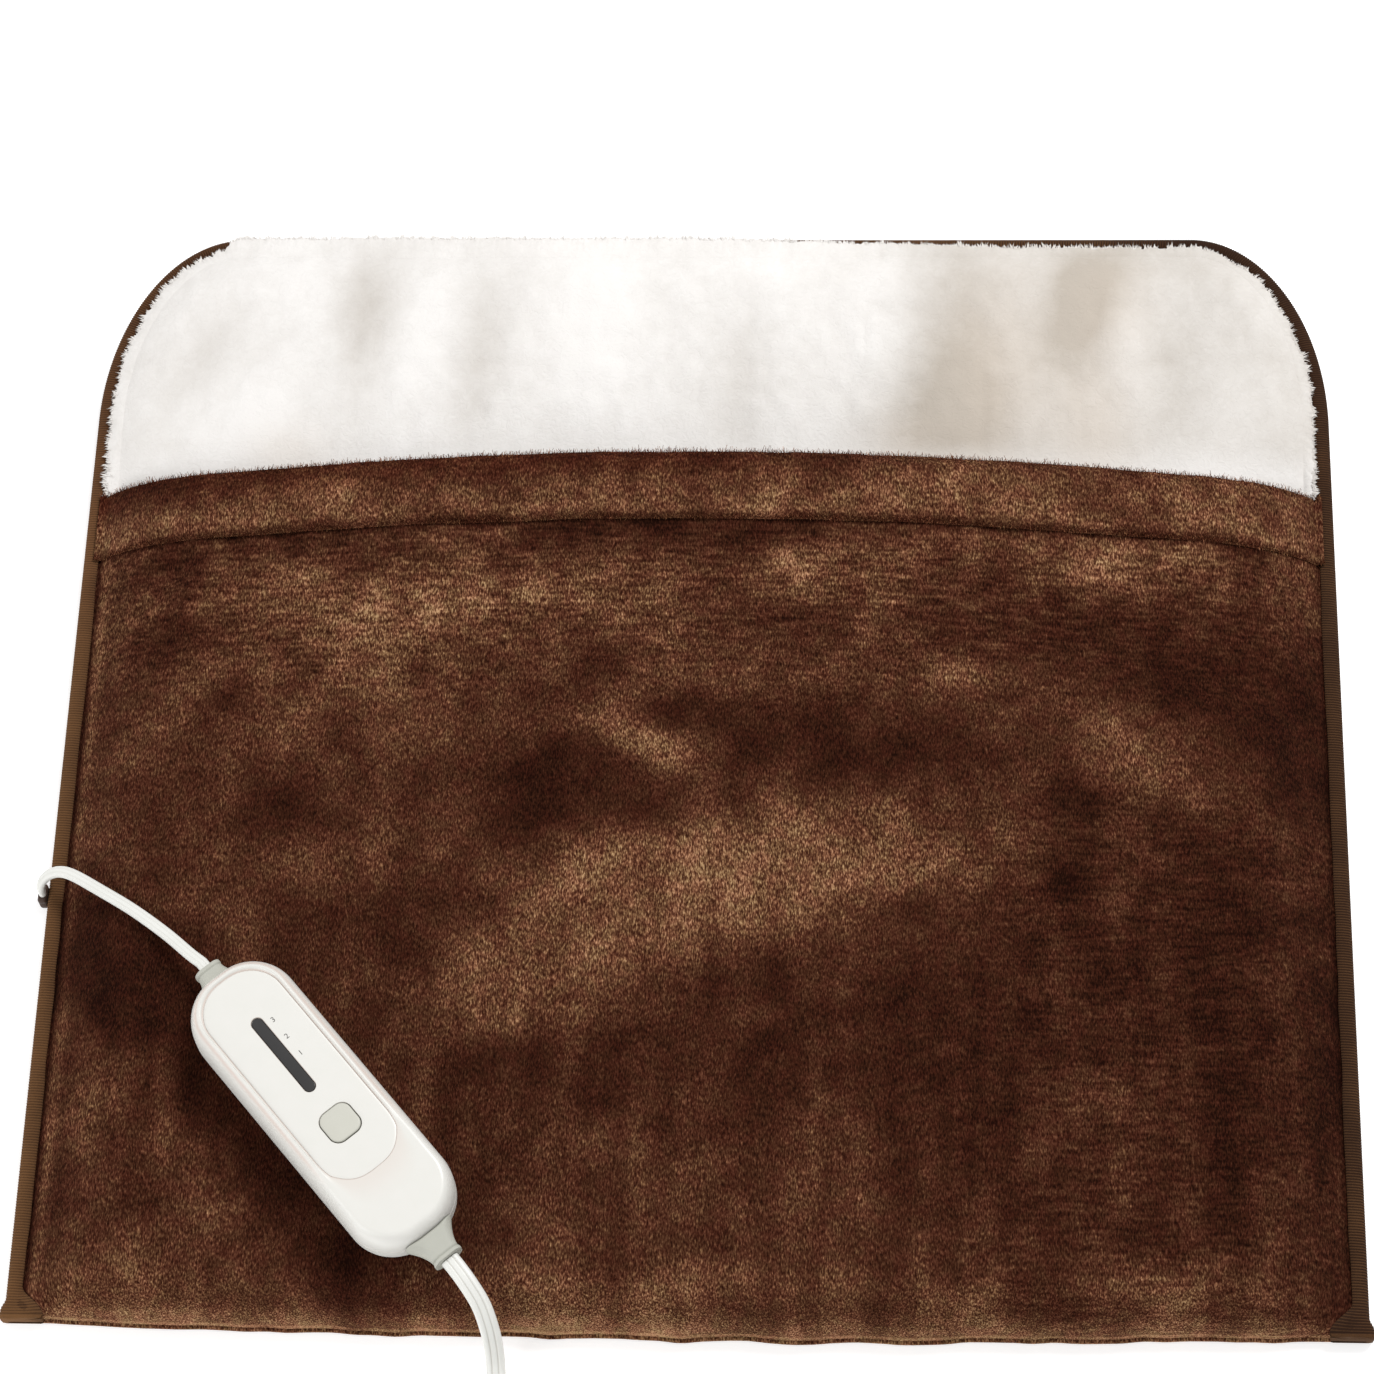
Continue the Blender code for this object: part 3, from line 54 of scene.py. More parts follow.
Array = np.ndarray
Socket = bpy.types.NodeSocket
Tree = bpy.types.NodeTree
Material = bpy.types.Material
Object = bpy.types.Object
Pair = tuple[float, float]
Triple = tuple[float, float, float]

POUCH_BODY = "pouch"
# The clearance between pieces that lie against each other, metres
GAP = 0.0003


# Shapes worked out as arrays


def smoothstep(value: Array, low: float = 0.0, high: float = 1.0) -> Array:
    """Rise smoothly from 0 at low to 1 at high."""
    share = np.clip((np.asarray(value, float) - low) / (high - low), 0.0, 1.0)
    return share * share * (3 - 2 * share)


def blend(low: Array, high: Array, share: Array) -> Array:
    """The value a share of the way from low to high."""
    return low + (high - low) * share


def unit(vectors: Array) -> Array:
    """Vectors made one long."""
    return vectors / np.maximum(np.linalg.norm(vectors, axis=-1, keepdims=True), 1e-12)


def points_at(x: Array, y: Array, z: Array) -> Array:
    """Points from coordinates that are stretched to one shape."""
    return np.stack(np.broadcast_arrays(x, y, z), -1)


def soft_noise(x: Array, y: Array, cell: float, seed: int) -> Array:
    """Smooth noise from -1 to 1.

    Random values stand on a square lattice, and a smoothstep joins them.

    Args:
        x: first coordinate of each point, metres.
        y: second coordinate of each point, metres.
        cell: the lattice's spacing, metres.
        seed: which random lattice.

    Returns:
        One value for each point.
    """
    lattice = np.random.default_rng(seed).uniform(-1, 1, (64, 64))
    u, v = np.asarray(x, float) / cell + 100, np.asarray(y, float) / cell + 100
    i, j = np.floor(u).astype(int), np.floor(v).astype(int)
    su, sv = smoothstep(u - i), smoothstep(v - j)
    low, high = (blend(lattice[i % 64, row % 64], lattice[(i + 1) % 64, row % 64], su) for row in (j, j + 1))
    return blend(low, high, sv)


def patches(x: Array, y: Array, spots: tuple) -> Array:
    """Sum of soft oval patches.

    Each is strength * exp(-(u/a)^2 - (v/b)^2), with u and v turned by the patch's tilt.

    Args:
        x: first coordinate of each point, metres.
        y: second coordinate of each point, metres.
        spots: (x, y, half length, half width) in centimetres, tilt in degrees, strength.

    Returns:
        One value for each point.
    """
    total = np.zeros(np.broadcast(x, y).shape)
    for cx, cy, long, wide, tilt, strength in spots:
        turn = math.radians(tilt)
        dx, dy = x - cx / 100, y - cy / 100
        u = (dx * math.cos(turn) + dy * math.sin(turn)) / (long / 100)
        v = (dy * math.cos(turn) - dx * math.sin(turn)) / (wide / 100)
        total = total + strength * np.exp(-u * u - v * v)
    return total


def spline(points: Array, count: int, closed: bool = False) -> Array:
    """Points on a smooth curve through the given ones, evenly along their numbering.

    The curve is Catmull-Rom: each stretch is a cubic through its two ends, whose slopes
    are half the step between their neighbours.

    Args:
        points: (n, ...) array of given points.
        count: how many points come back.
        closed: whether the curve returns to its start.

    Returns:
        (count, ...) array.
    """
    given = np.asarray(points, float)
    number = len(given)
    at = np.linspace(0, number if closed else number - 1, count, endpoint=not closed)
    k = np.minimum(np.floor(at).astype(int), number - 1 if closed else number - 2)
    t = (at - k).reshape(-1, *[1] * (given.ndim - 1))
    if closed:
        p0, p1, p2, p3 = (given[(k + step) % number] for step in (-1, 0, 1, 2))
    else:
        first, last = 2 * given[0] - given[1], 2 * given[-1] - given[-2]
        padded = np.concatenate([first[None], given, last[None]])
        p0, p1, p2, p3 = (padded[k + step] for step in (0, 1, 2, 3))
    return 0.5 * (2 * p1 + (p2 - p0) * t + (2 * p0 - 5 * p1 + 4 * p2 - p3) * t ** 2
                  + (3 * p1 - 3 * p2 + p3 - p0) * t ** 3)


def evenly(line: Array, step: float) -> Array:
    """Points about a step apart along an (n, k) line."""
    along = np.concatenate([[0], np.cumsum(np.linalg.norm(np.diff(line, axis=0), axis=1))])
    at = np.linspace(0, along[-1], max(2, round(along[-1] / step) + 1))
    return np.stack([np.interp(at, along, axis) for axis in line.T], 1)


def round_rectangle(length: float, width: float, radius: float, corner: int = 10, straight: int = 4,
                    middle: Pair = (0.0, 0.0)) -> Array:
    """Points round a rectangle with round corners, counter-clockwise.

    Each corner is a quarter circle, and each side is cut in equal steps, so that
    outlines of the same counts match point for point.

    Args:
        length: its size along the first axis.
        width: its size along the second axis.
        radius: the corners' radius.
        corner: points on each corner.
        straight: points on each side, between the corners.
        middle: its centre.

    Returns:
        (n, 2) array.
    """
    corners = []
    for turn, (sx, sy) in enumerate(((1, 1), (-1, 1), (-1, -1), (1, -1))):
        angle = (turn + np.linspace(0, 1, corner)) * math.pi / 2
        centre = np.array([sx * (length / 2 - radius), sy * (width / 2 - radius)])
        corners.append(centre + radius * np.stack([np.cos(angle), np.sin(angle)], 1))
    share = np.linspace(0, 1, straight + 2)[1:-1, None]
    pieces = []
    for this, following in zip(corners, corners[1:] + corners[:1]):
        pieces += [this, blend(this[-1], following[0], share)]
    return np.concatenate(pieces) + np.array(middle)


@dataclass(frozen=True)
class Place:
    """A turn about the upright axis and a shift, which carry a piece's own frame to the scene's."""

    x: float
    y: float
    z: float
    degrees: float

    def put(self, points: Array) -> Array:
        """Points of the piece's frame in the scene's frame."""
        turn = math.radians(self.degrees)
        s, t, up = np.moveaxis(np.asarray(points, float), -1, 0)
        return points_at(self.x + s * math.cos(turn) - t * math.sin(turn),
                         self.y + s * math.sin(turn) + t * math.cos(turn), self.z + up)

    def ray(self, start: Triple, way: Triple) -> tuple[Array, Array]:
        """A point of the piece's frame and a direction there, in the scene's frame."""
        ends = self.put([start, np.add(start, way)])
        return ends[0], ends[1] - ends[0]


@dataclass
class Form:
    """A mesh in the making: points, faces, and named values at the points."""

    points: Array
    quads: Array
    tris: Array = field(default_factory=lambda: np.zeros((0, 3), int))
    values: dict[str, Array] = field(default_factory=dict)

    @classmethod
    def loft(cls, rings: Array, looped: bool = False, values: dict | None = None) -> "Form":
        """A closed surface through rings of points.

        Args:
            rings: (n, m, 3) array; each ring is closed.
            looped: whether the last ring joins the first; otherwise both ends get a cap
                that fans out from its middle.
            values: named values, each stretched to (n, m).

        Returns:
            The closed form, its faces outwards.
        """
        rings = np.asarray(rings)
        n, m = rings.shape[:2]
        index = np.arange(n * m).reshape(n, m)
        after = np.roll(index, -1, axis=1)
        around = [index, after, np.roll(after, -1, axis=0), np.roll(index, -1, axis=0)]
        quads = np.stack(around, -1)[:n if looped else n - 1].reshape(-1, 4)
        points = rings.reshape(-1, 3)
        kept = {name: np.broadcast_to(value, (n, m)).reshape(-1) for name, value in (values or {}).items()}
        if looped:
            return cls(points, quads, values=kept).outward()
        middles = np.stack([rings[0].mean(0), rings[-1].mean(0)])
        first = np.stack([after[0], index[0], np.full(m, n * m)], 1)
        last = np.stack([index[-1], after[-1], np.full(m, n * m + 1)], 1)
        kept = {name: np.append(value, [value[:m].mean(), value[-m:].mean()]) for name, value in kept.items()}
        return cls(np.concatenate([points, middles]), quads, np.concatenate([first, last]), kept).outward()

    @classmethod
    def stacked(cls, *levels: tuple) -> "Form":
        """A closed surface through level outlines.

        Args:
            levels: (n, 2) outlines, each with its height and, where the finish reads it,
            its value edge, the share of painted shade there.

        Returns:
            The closed form.
        """
        rings = np.array([points_at(*level[0].T, level[1]) for level in levels])
        if len(levels[0]) < 3:
            return cls.loft(rings)
        return cls.loft(rings, values={"edge": [np.broadcast_to(level[2], len(level[0])) for level in levels]})

    @classmethod
    def slab(cls, bottom: Array, top: Array, values: dict | None = None) -> "Form":
        """A closed sheet between two grids of points.

        Args:
            bottom: (rows, columns, 3) points of its underside.
            top: points of its upper side, as many.
            values: named values, each stretched to (rows, columns), the same above and below.

        Returns:
            The closed form, its faces outwards.
        """
        rows, columns = top.shape[:2]
        index = np.arange(rows * columns).reshape(rows, columns)
        over = np.stack([index[:-1, :-1], index[:-1, 1:], index[1:, 1:], index[1:, :-1]], -1).reshape(-1, 4)
        count = rows * columns
        rim = np.concatenate([index[0], index[1:, -1], index[-1, -2::-1], index[-2:0:-1, 0]])
        ahead = np.roll(rim, -1)
        side = np.stack([rim + count, ahead + count, ahead, rim], 1)
        kept = {name: np.tile(np.broadcast_to(value, (rows, columns)).reshape(-1), 2)
                for name, value in (values or {}).items()}
        return cls(np.concatenate([top.reshape(-1, 3), bottom.reshape(-1, 3)]),
                   np.concatenate([over, over[:, ::-1] + count, side]), values=kept).outward()

    @classmethod
    def joined(cls, forms: list["Form"]) -> "Form":
        """Several forms as one."""
        starts = np.cumsum([0, *(len(form.points) for form in forms)])
        return cls(np.concatenate([form.points for form in forms]),
                   np.concatenate([form.quads + start for form, start in zip(forms, starts)]),
                   np.concatenate([form.tris + start for form, start in zip(forms, starts)]),
                   {name: np.concatenate([form.values[name] for form in forms]) for name in forms[0].values})

    @classmethod
    def fibres(cls, roots: Array, bends: Array, tips: Array, widths: Array, values: dict) -> "Form":
        """Three-sided fibres, each bent once: a base triangle, a thinner middle one and a tip.

        Args:
            roots: (n, 3) points that they grow from.
            bends: (n, 3) points that they bend at.
            tips: (n, 3) points that they end at.
            widths: (n,) radius at the root.
            values: named values, each stretched to (n,).

        Returns:
            All the fibres as one form of closed pieces.
        """
        along = unit(tips - roots)
        helper = np.where(np.abs(along[:, 2:]) < 0.9, [[0.0, 0.0, 1.0]], [[1.0, 0.0, 0.0]])
        side = unit(np.cross(along, helper))
        over = np.cross(along, side)
        angle = (np.arange(3) * 2 * math.pi / 3)[None, :, None]
        round_about = side[:, None] * np.cos(angle) + over[:, None] * np.sin(angle)
        base = roots[:, None] + widths[:, None, None] * round_about
        bend = bends[:, None] + 0.62 * widths[:, None, None] * round_about
        points = np.concatenate([base, bend, tips[:, None]], 1).reshape(-1, 3)
        start = np.arange(len(roots))[:, None, None] * 7
        quads = (start + np.array([[0, 1, 4, 3], [1, 2, 5, 4], [2, 0, 3, 5]])).reshape(-1, 4)
        tris = (start + np.array([[3, 4, 6], [4, 5, 6], [5, 3, 6], [2, 1, 0]])).reshape(-1, 3)
        kept = {name: np.repeat(np.broadcast_to(value, len(roots)), 7) for name, value in values.items()}
        return cls(points, quads, tris, kept).outward()

    def outward(self) -> "Form":
        """The form with its faces turned outwards, which makes its volume positive."""
        tris = np.concatenate([self.quads[:, [0, 1, 2]], self.quads[:, [0, 2, 3]], self.tris])
        a, b, c = (self.points[tris[:, k]] for k in range(3))
        if np.einsum("ij,ij->i", a, np.cross(b, c)).sum() < 0:
            self.quads, self.tris = self.quads[:, ::-1], self.tris[:, ::-1]
        return self

    def moved(self, place: Place) -> "Form":
        """The form put at a place."""
        self.points = place.put(self.points)
        return self

    def mesh(self, name: str) -> bpy.types.Mesh:
        """The form as a mesh, its named values as attributes."""
        mesh = bpy.data.meshes.new(name)
        mesh.from_pydata(self.points.tolist(), [], self.quads.tolist() + self.tris.tolist())
        for key, value in self.values.items():
            mesh.attributes.new(key, "FLOAT", "POINT").data.foreach_set("value", np.asarray(value, np.float32))
        return mesh


def add_object(name: str, data: bpy.types.ID) -> Object:
    """A new object in the scene."""
    obj = bpy.data.objects.new(name, data)
    bpy.context.scene.collection.objects.link(obj)
    return obj


def cut_holes(obj: Object, cutters: list[Form], sharp: float) -> None:
    """Cut forms out of an object, and apply the cuts.

    Args:
        obj: the object that is cut.
        cutters: closed forms, which may not touch one another.
        sharp: edges that bend more than this many degrees stay sharp.
    """
    tool = add_object("cutter", Form.joined(cutters).mesh("cutter"))
    modifier = obj.modifiers.new("holes", "BOOLEAN")
    modifier.solver, modifier.operation, modifier.object = "EXACT", "DIFFERENCE", tool
    graph = bpy.context.evaluated_depsgraph_get()
    mesh = bpy.data.meshes.new_from_object(obj.evaluated_get(graph))
    obj.modifiers.remove(modifier)
    old, obj.data = obj.data, mesh
    mesh.name = obj.name
    mesh.set_sharp_from_angle(angle=math.radians(sharp))
    bpy.data.meshes.remove(old)
    bpy.data.objects.remove(tool)


def make_piece(name: str, form: Form, finish: "Finish", slot: str, replaced: tuple[str, ...] = (),
               sharp: float = 40.0, body: str = POUCH_BODY, cutters: list[Form] | None = None) -> Object:
    """Turn a form into a named object that rides on a body.

    Args:
        name: the piece's name.
        form: its shape and its named values.
        finish: its finish.
        slot: the record's material slot; not used.
        replaced: the CAD nodes that it stands for.
        sharp: edges that bend more than this many degrees stay sharp.
        body: the body that it rides on.
        cutters: forms that are cut out of it.

    Returns:
        The object.
    """
    mesh = form.mesh(name)
    mesh.shade_smooth()
    mesh.set_sharp_from_angle(angle=math.radians(sharp))
    mesh.materials.append(finish.material())
    obj = add_object(name, mesh)
    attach(obj, body)
    if replaced:
        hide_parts(*replaced)
    if cutters:
        cut_holes(obj, cutters, sharp)
    log.info("%s: %d points, %d faces, on %s", name, len(obj.data.vertices), len(obj.data.polygons), body)
    return obj


# Finishes


def per(millimetres: float) -> float:
    """The texture scale whose features are that many millimetres across."""
    return 1000.0 / millimetres


def hex_to_linear(code: str) -> tuple[float, float, float, float]:
    """Turn an sRGB hex colour into linear RGBA.

    Args:
        code: a colour such as "#f2efe9".

    Returns:
        Its linear red, green and blue, and an alpha of 1.
    """
    shares = [int(code[k:k + 2], 16) / 255 for k in (1, 3, 5)]
    linear = [v / 12.92 if v <= 0.04045 else ((v + 0.055) / 1.055) ** 2.4 for v in shares]
    return (*linear, 1.0)


def set_up(node: bpy.types.Node, settings: dict | None = None, links: dict | None = None) -> None:
    """Give a node its settings and links.

    Args:
        node: the node.
        settings: properties by name, input values by name or number with hex text for a
            colour, and "stops" for a ramp.
        links: the socket that feeds each input, by name or number.
    """
    for key, value in (settings or {}).items():
        if key == "stops":
            elements = node.color_ramp.elements
            for position, colour in value[1:-1]:
                elements.new(position).color = hex_to_linear(colour)
            for end in (0, -1):
                elements[end].position, elements[end].color = value[end][0], hex_to_linear(value[end][1])
        elif isinstance(key, int) or key in node.inputs:
            node.inputs[key].default_value = hex_to_linear(value) if isinstance(value, str) else value
        else:
            setattr(node, key, value)
    for key, source in (links or {}).items():
        node.id_data.links.new(source, node.inputs[key])


def add_node(tree: Tree, kind: str, settings: dict | None = None, links: dict | None = None,
             out: int | str = 0) -> Socket:
    """Add a node with its settings and links.

    Args:
        tree: the material's node tree.
        kind: the node's type name.
        settings: see set_up.
        links: see set_up.
        out: the output that is wanted, by name or number.

    Returns:
        That output's socket.
    """
    node = tree.nodes.new(kind)
    set_up(node, settings, links)
    return node.outputs[out]


def weighted_sum(tree: Tree, start: float, *parts: tuple[Socket, float]) -> Socket:
    """Add patterns up, each times its share, onto a starting value.

    Args:
        tree: the material's node tree.
        start: the value that the sum starts from.
        parts: each pattern and its share.

    Returns:
        The sum's socket.
    """
    so_far: dict[int, Socket] = {}
    for source, share in parts:
        so_far = {2: add_node(tree, "ShaderNodeMath", {"operation": "MULTIPLY_ADD", 1: share, 2: start},
                              {0: source, **so_far})}
    return so_far[2]


@dataclass(frozen=True)
class Pattern:
    """A cloudy pattern in Object coordinates.

    Attributes:
        size: its features' size, millimetres.
        stretch: how far space is stretched along each axis before it is laid in.
        turn: how far it is turned about the upright axis, radians.
        detail: how many finer octaves it has.
        roughness: how strong they are.
        distortion: how far it is swirled.
    """

    size: float
    stretch: Triple = (1.0, 1.0, 1.0)
    turn: float = 0.0
    detail: float = 2.0
    roughness: float = 0.5
    distortion: float = 0.0


def start_material(name: str, settings: dict, reads: tuple[str, ...], *patterns: Pattern) -> tuple:
    """Start a Principled material.

    Args:
        name: the real material's name.
        settings: values of the shader's inputs.
        reads: the piece's named values that it reads.
        patterns: its patterns.

    Returns:
        The material, its tree, and the socket of each value and then of each pattern.
    """
    material = bpy.data.materials.new(name)
    material.use_nodes = True
    tree = material.node_tree
    set_up(tree.nodes["Principled BSDF"], settings)
    sockets = [add_node(tree, "ShaderNodeAttribute", {"attribute_name": value}, out="Fac") for value in reads]
    place = add_node(tree, "ShaderNodeTexCoord", out="Object")
    for pattern in patterns:
        lying = add_node(tree, "ShaderNodeMapping", {"Scale": pattern.stretch, "Rotation": (0.0, 0.0, pattern.turn)},
                         {"Vector": place})
        sockets.append(add_node(tree, "ShaderNodeTexNoise", {
            "Scale": per(pattern.size), "Detail": pattern.detail, "Roughness": pattern.roughness,
            "Distortion": pattern.distortion}, {"Vector": lying}))
    return material, tree, sockets


def finish_material(material: Material, height: Socket, strength: float, depth: float,
                    links: dict[str, Socket]) -> Material:
    """Give a started material its bump and what else feeds its shader.

    Args:
        material: the material.
        height: the surface's height.
        strength: the bump's strength.
        depth: the bump's depth, millimetres.
        links: the socket that feeds each of the shader's inputs.

    Returns:
        The material.
    """
    bump = add_node(material.node_tree, "ShaderNodeBump", {"Strength": strength, "Distance": depth / 1000},
                    {"Height": height})
    set_up(material.node_tree.nodes["Principled BSDF"], links={**links, "Normal": bump})
    return material


@dataclass(frozen=True)
class Flannel:
    """Brushed polyester flannel: a short dense pile, dark where it lies away from the light.

    The eye sees brushed patches some centimetres across, strokes of fibre about a
    millimetre wide, and the knit's rows showing through them. Among the patches lie
    painted shadows, painted shade in creases and painted highlights.
    """

    name: str = "brushed_flannel"
    shades: tuple = ((0.0, "#1a0905"), (0.28, "#391d13"), (0.5, "#523426"), (0.72, "#7c5a42"), (1.0, "#b59373"))
    maroon: str = "#ffcfc0"
    olive: str = "#e2e3b6"
    rosy: str = "#ffd6c8"
    stroke: float = 0.64
    grain: float = 1.7
    mottle: float = 22.0
    knit: float = 1.9
    dye: float = 7.0

    def make(self) -> Material:
        """The node material. It reads the piece's values nap, rows and red."""
        # Strokes lean a little off the pouch's length, three times as long as they are wide
        material, tree, (nap, rows, red, strokes, grains, mottle, courses, drift) = start_material(
            self.name, {"Roughness": 1.0, "Specular IOR Level": 0.04, "Sheen Weight": 0.02, "Sheen Roughness": 0.4,
                        "Sheen Tint": "#a98468"}, ("nap", "rows", "red"),
            Pattern(self.stroke, (1.1, 0.36, 1.0), 0.25, detail=1.0),
            Pattern(self.grain, (1.0, 0.8, 1.0), -0.3, roughness=0.6),
            Pattern(self.mottle, detail=5.0, roughness=0.62, distortion=0.6),
            Pattern(self.knit, (0.14, 1.0, 1.0), detail=1.0),
            Pattern(self.dye, turn=0.2))
        # The strokes stand out where the pile catches the light, and sink where it lies away
        lively = add_node(tree, "ShaderNodeMapRange",
                          {"From Min": -0.7, "From Max": 0.7, "To Min": 0.8, "To Max": 1.4}, {"Value": nap})
        strong, woven = (add_node(tree, "ShaderNodeMath", {"operation": "MULTIPLY"}, {0: one, 1: other})
                         for one, other in ((weighted_sum(tree, -0.5, (strokes, 1.0)), lively), (courses, rows)))
        # The tone follows the pile's lie and the painted shadows and highlights in it
        tone = weighted_sum(tree, 0.135, (nap, 0.30), (strong, 1.15), (grains, 0.19), (mottle, 0.35), (woven, 0.55),
                            (rows, -0.275))
        colour = add_node(tree, "ShaderNodeValToRGB", {"stops": self.shades}, {"Fac": tone})
        # The dye drifts between maroon and olive over some millimetres
        share = add_node(tree, "ShaderNodeMapRange", {"From Min": 0.38, "From Max": 0.62}, {"Value": drift})
        dye = add_node(tree, "ShaderNodeMix", {"data_type": "RGBA", 6: self.maroon, 7: self.olive}, {0: share}, 2)
        tinted = {"data_type": "RGBA", "blend_type": "MULTIPLY"}
        dyed = add_node(tree, "ShaderNodeMix", {**tinted, 0: 0.42}, {6: colour, 7: dye}, 2)
        warmed = add_node(tree, "ShaderNodeMix", {**tinted, 7: self.rosy}, {0: red, 6: dyed}, 2)
        height = weighted_sum(tree, 0.0, (strokes, 0.7), (grains, 0.3), (woven, 0.2))
        return finish_material(material, height, 0.6, 1.0, {"Base Color": warmed})


@dataclass(frozen=True)
class Sherpa:
    """Sherpa fleece: a curled polyester pile on a knit back, which looks soft and almost shadowless."""

    name: str = "sherpa_fleece"
    light: str = "#e2dfdc"
    shade: str = "#a8a096"
    warm: str = "#cbbeb0"
    curl: float = 3.2
    clump: float = 14.0

    def make(self) -> Material:
        """The node material. It reads the piece's values shade and warmth; on the base's fleece, warmth marks painted
        warm reflected light.
        """
        material, tree, (shade, warmth, curls, clumps) = start_material(
            self.name, {"Roughness": 1.0, "Specular IOR Level": 0.1, "Sheen Weight": 0.12, "Sheen Roughness": 0.6},
            ("shade", "warmth"), Pattern(self.curl, detail=4.0, roughness=0.6, distortion=1.2), Pattern(self.clump))
        dark = weighted_sum(tree, -0.19, (shade, 0.8), (curls, 0.26), (clumps, 0.18))
        colour = add_node(tree, "ShaderNodeMix", {"data_type": "RGBA", 6: self.light, 7: self.shade}, {0: dark}, 2)
        warmed = add_node(tree, "ShaderNodeMix", {"data_type": "RGBA", 7: self.warm}, {0: warmth, 6: colour}, 2)
        return finish_material(material, curls, 0.35, 1.2, {"Base Color": warmed})


@dataclass(frozen=True)
class Yarn:
    """Overlocked polyester yarn: tight cross ribs, the valleys between them darkened with painted shade."""

    name: str = "overlock_yarn"
    # The valley colour is painted shade between the ribs
    valley: str = "#28160b"
    ridge: str = "#6d4c2e"
    red: str = "#6e3d2b"
    strand: float = 0.45
    drift: float = 18.0

    def make(self) -> Material:
        """The node material. It reads rib, from 0 in a valley to 1 on a ridge, and red and dark."""
        material, tree, (rib, red, dark, strands, drift) = start_material(
            self.name, {"Roughness": 0.9, "Specular IOR Level": 0.15, "Sheen Weight": 0.08, "Sheen Tint": "#a9805c"},
            ("rib", "red", "dark"), Pattern(self.strand), Pattern(self.drift))
        tone = weighted_sum(tree, -0.17, (rib, 0.55), (strands, 0.45), (drift, 0.45), (dark, -0.45))
        ridge = add_node(tree, "ShaderNodeMix", {"data_type": "RGBA", 6: self.ridge, 7: self.red}, {0: red}, 2)
        colour = add_node(tree, "ShaderNodeMix", {"data_type": "RGBA", 6: self.valley}, {0: tone, 7: ridge}, 2)
        return finish_material(material, strands, 0.5, 0.2, {"Base Color": colour})


@dataclass(frozen=True)
class Moulding:
    """A moulded or extruded material: two close colours in soft clouds, and a fine surface grain.

    Attributes:
        name: the real material's name.
        colour: its main colour.
        cloud: the colour that it drifts to.
        grain: the size of its surface texture, millimetres.
        depth: the depth of that texture, millimetres.
        roughness: how rough it looks, and how far that drifts either way.
        fold_shade: the colour of painted shade in its folds and edges, where the piece has the value edge.
        stretch: how far the texture is stretched along each axis.
        sockets: other values of the shader.
    """

    name: str
    colour: str
    cloud: str
    grain: float
    depth: float
    roughness: Pair
    fold_shade: str | None = None
    stretch: Triple = (1.0, 1.0, 1.0)
    sockets: tuple = ()

    def make(self) -> Material:
        """The node material."""
        material, tree, (edge, grain, clouds) = start_material(
            self.name, dict(self.sockets), ("edge",), Pattern(self.grain, self.stretch),
            Pattern(30 * self.grain, self.stretch, detail=3.0))
        share = weighted_sum(tree, -0.25, (clouds, 1.1), (grain, 0.4))
        colour = add_node(tree, "ShaderNodeMix", {"data_type": "RGBA", 6: self.colour, 7: self.cloud}, {0: share}, 2)
        # Painted shade: the value edge mixes in the fold colour
        if self.fold_shade:
            colour = add_node(tree, "ShaderNodeMix", {"data_type": "RGBA", 7: self.fold_shade}, {0: edge, 6: colour}, 2)
        middle, drift = self.roughness
        rough = weighted_sum(tree, middle - drift, (clouds, 2 * drift))
        return finish_material(material, grain, 0.4, self.depth, {"Base Color": colour, "Roughness": rough})


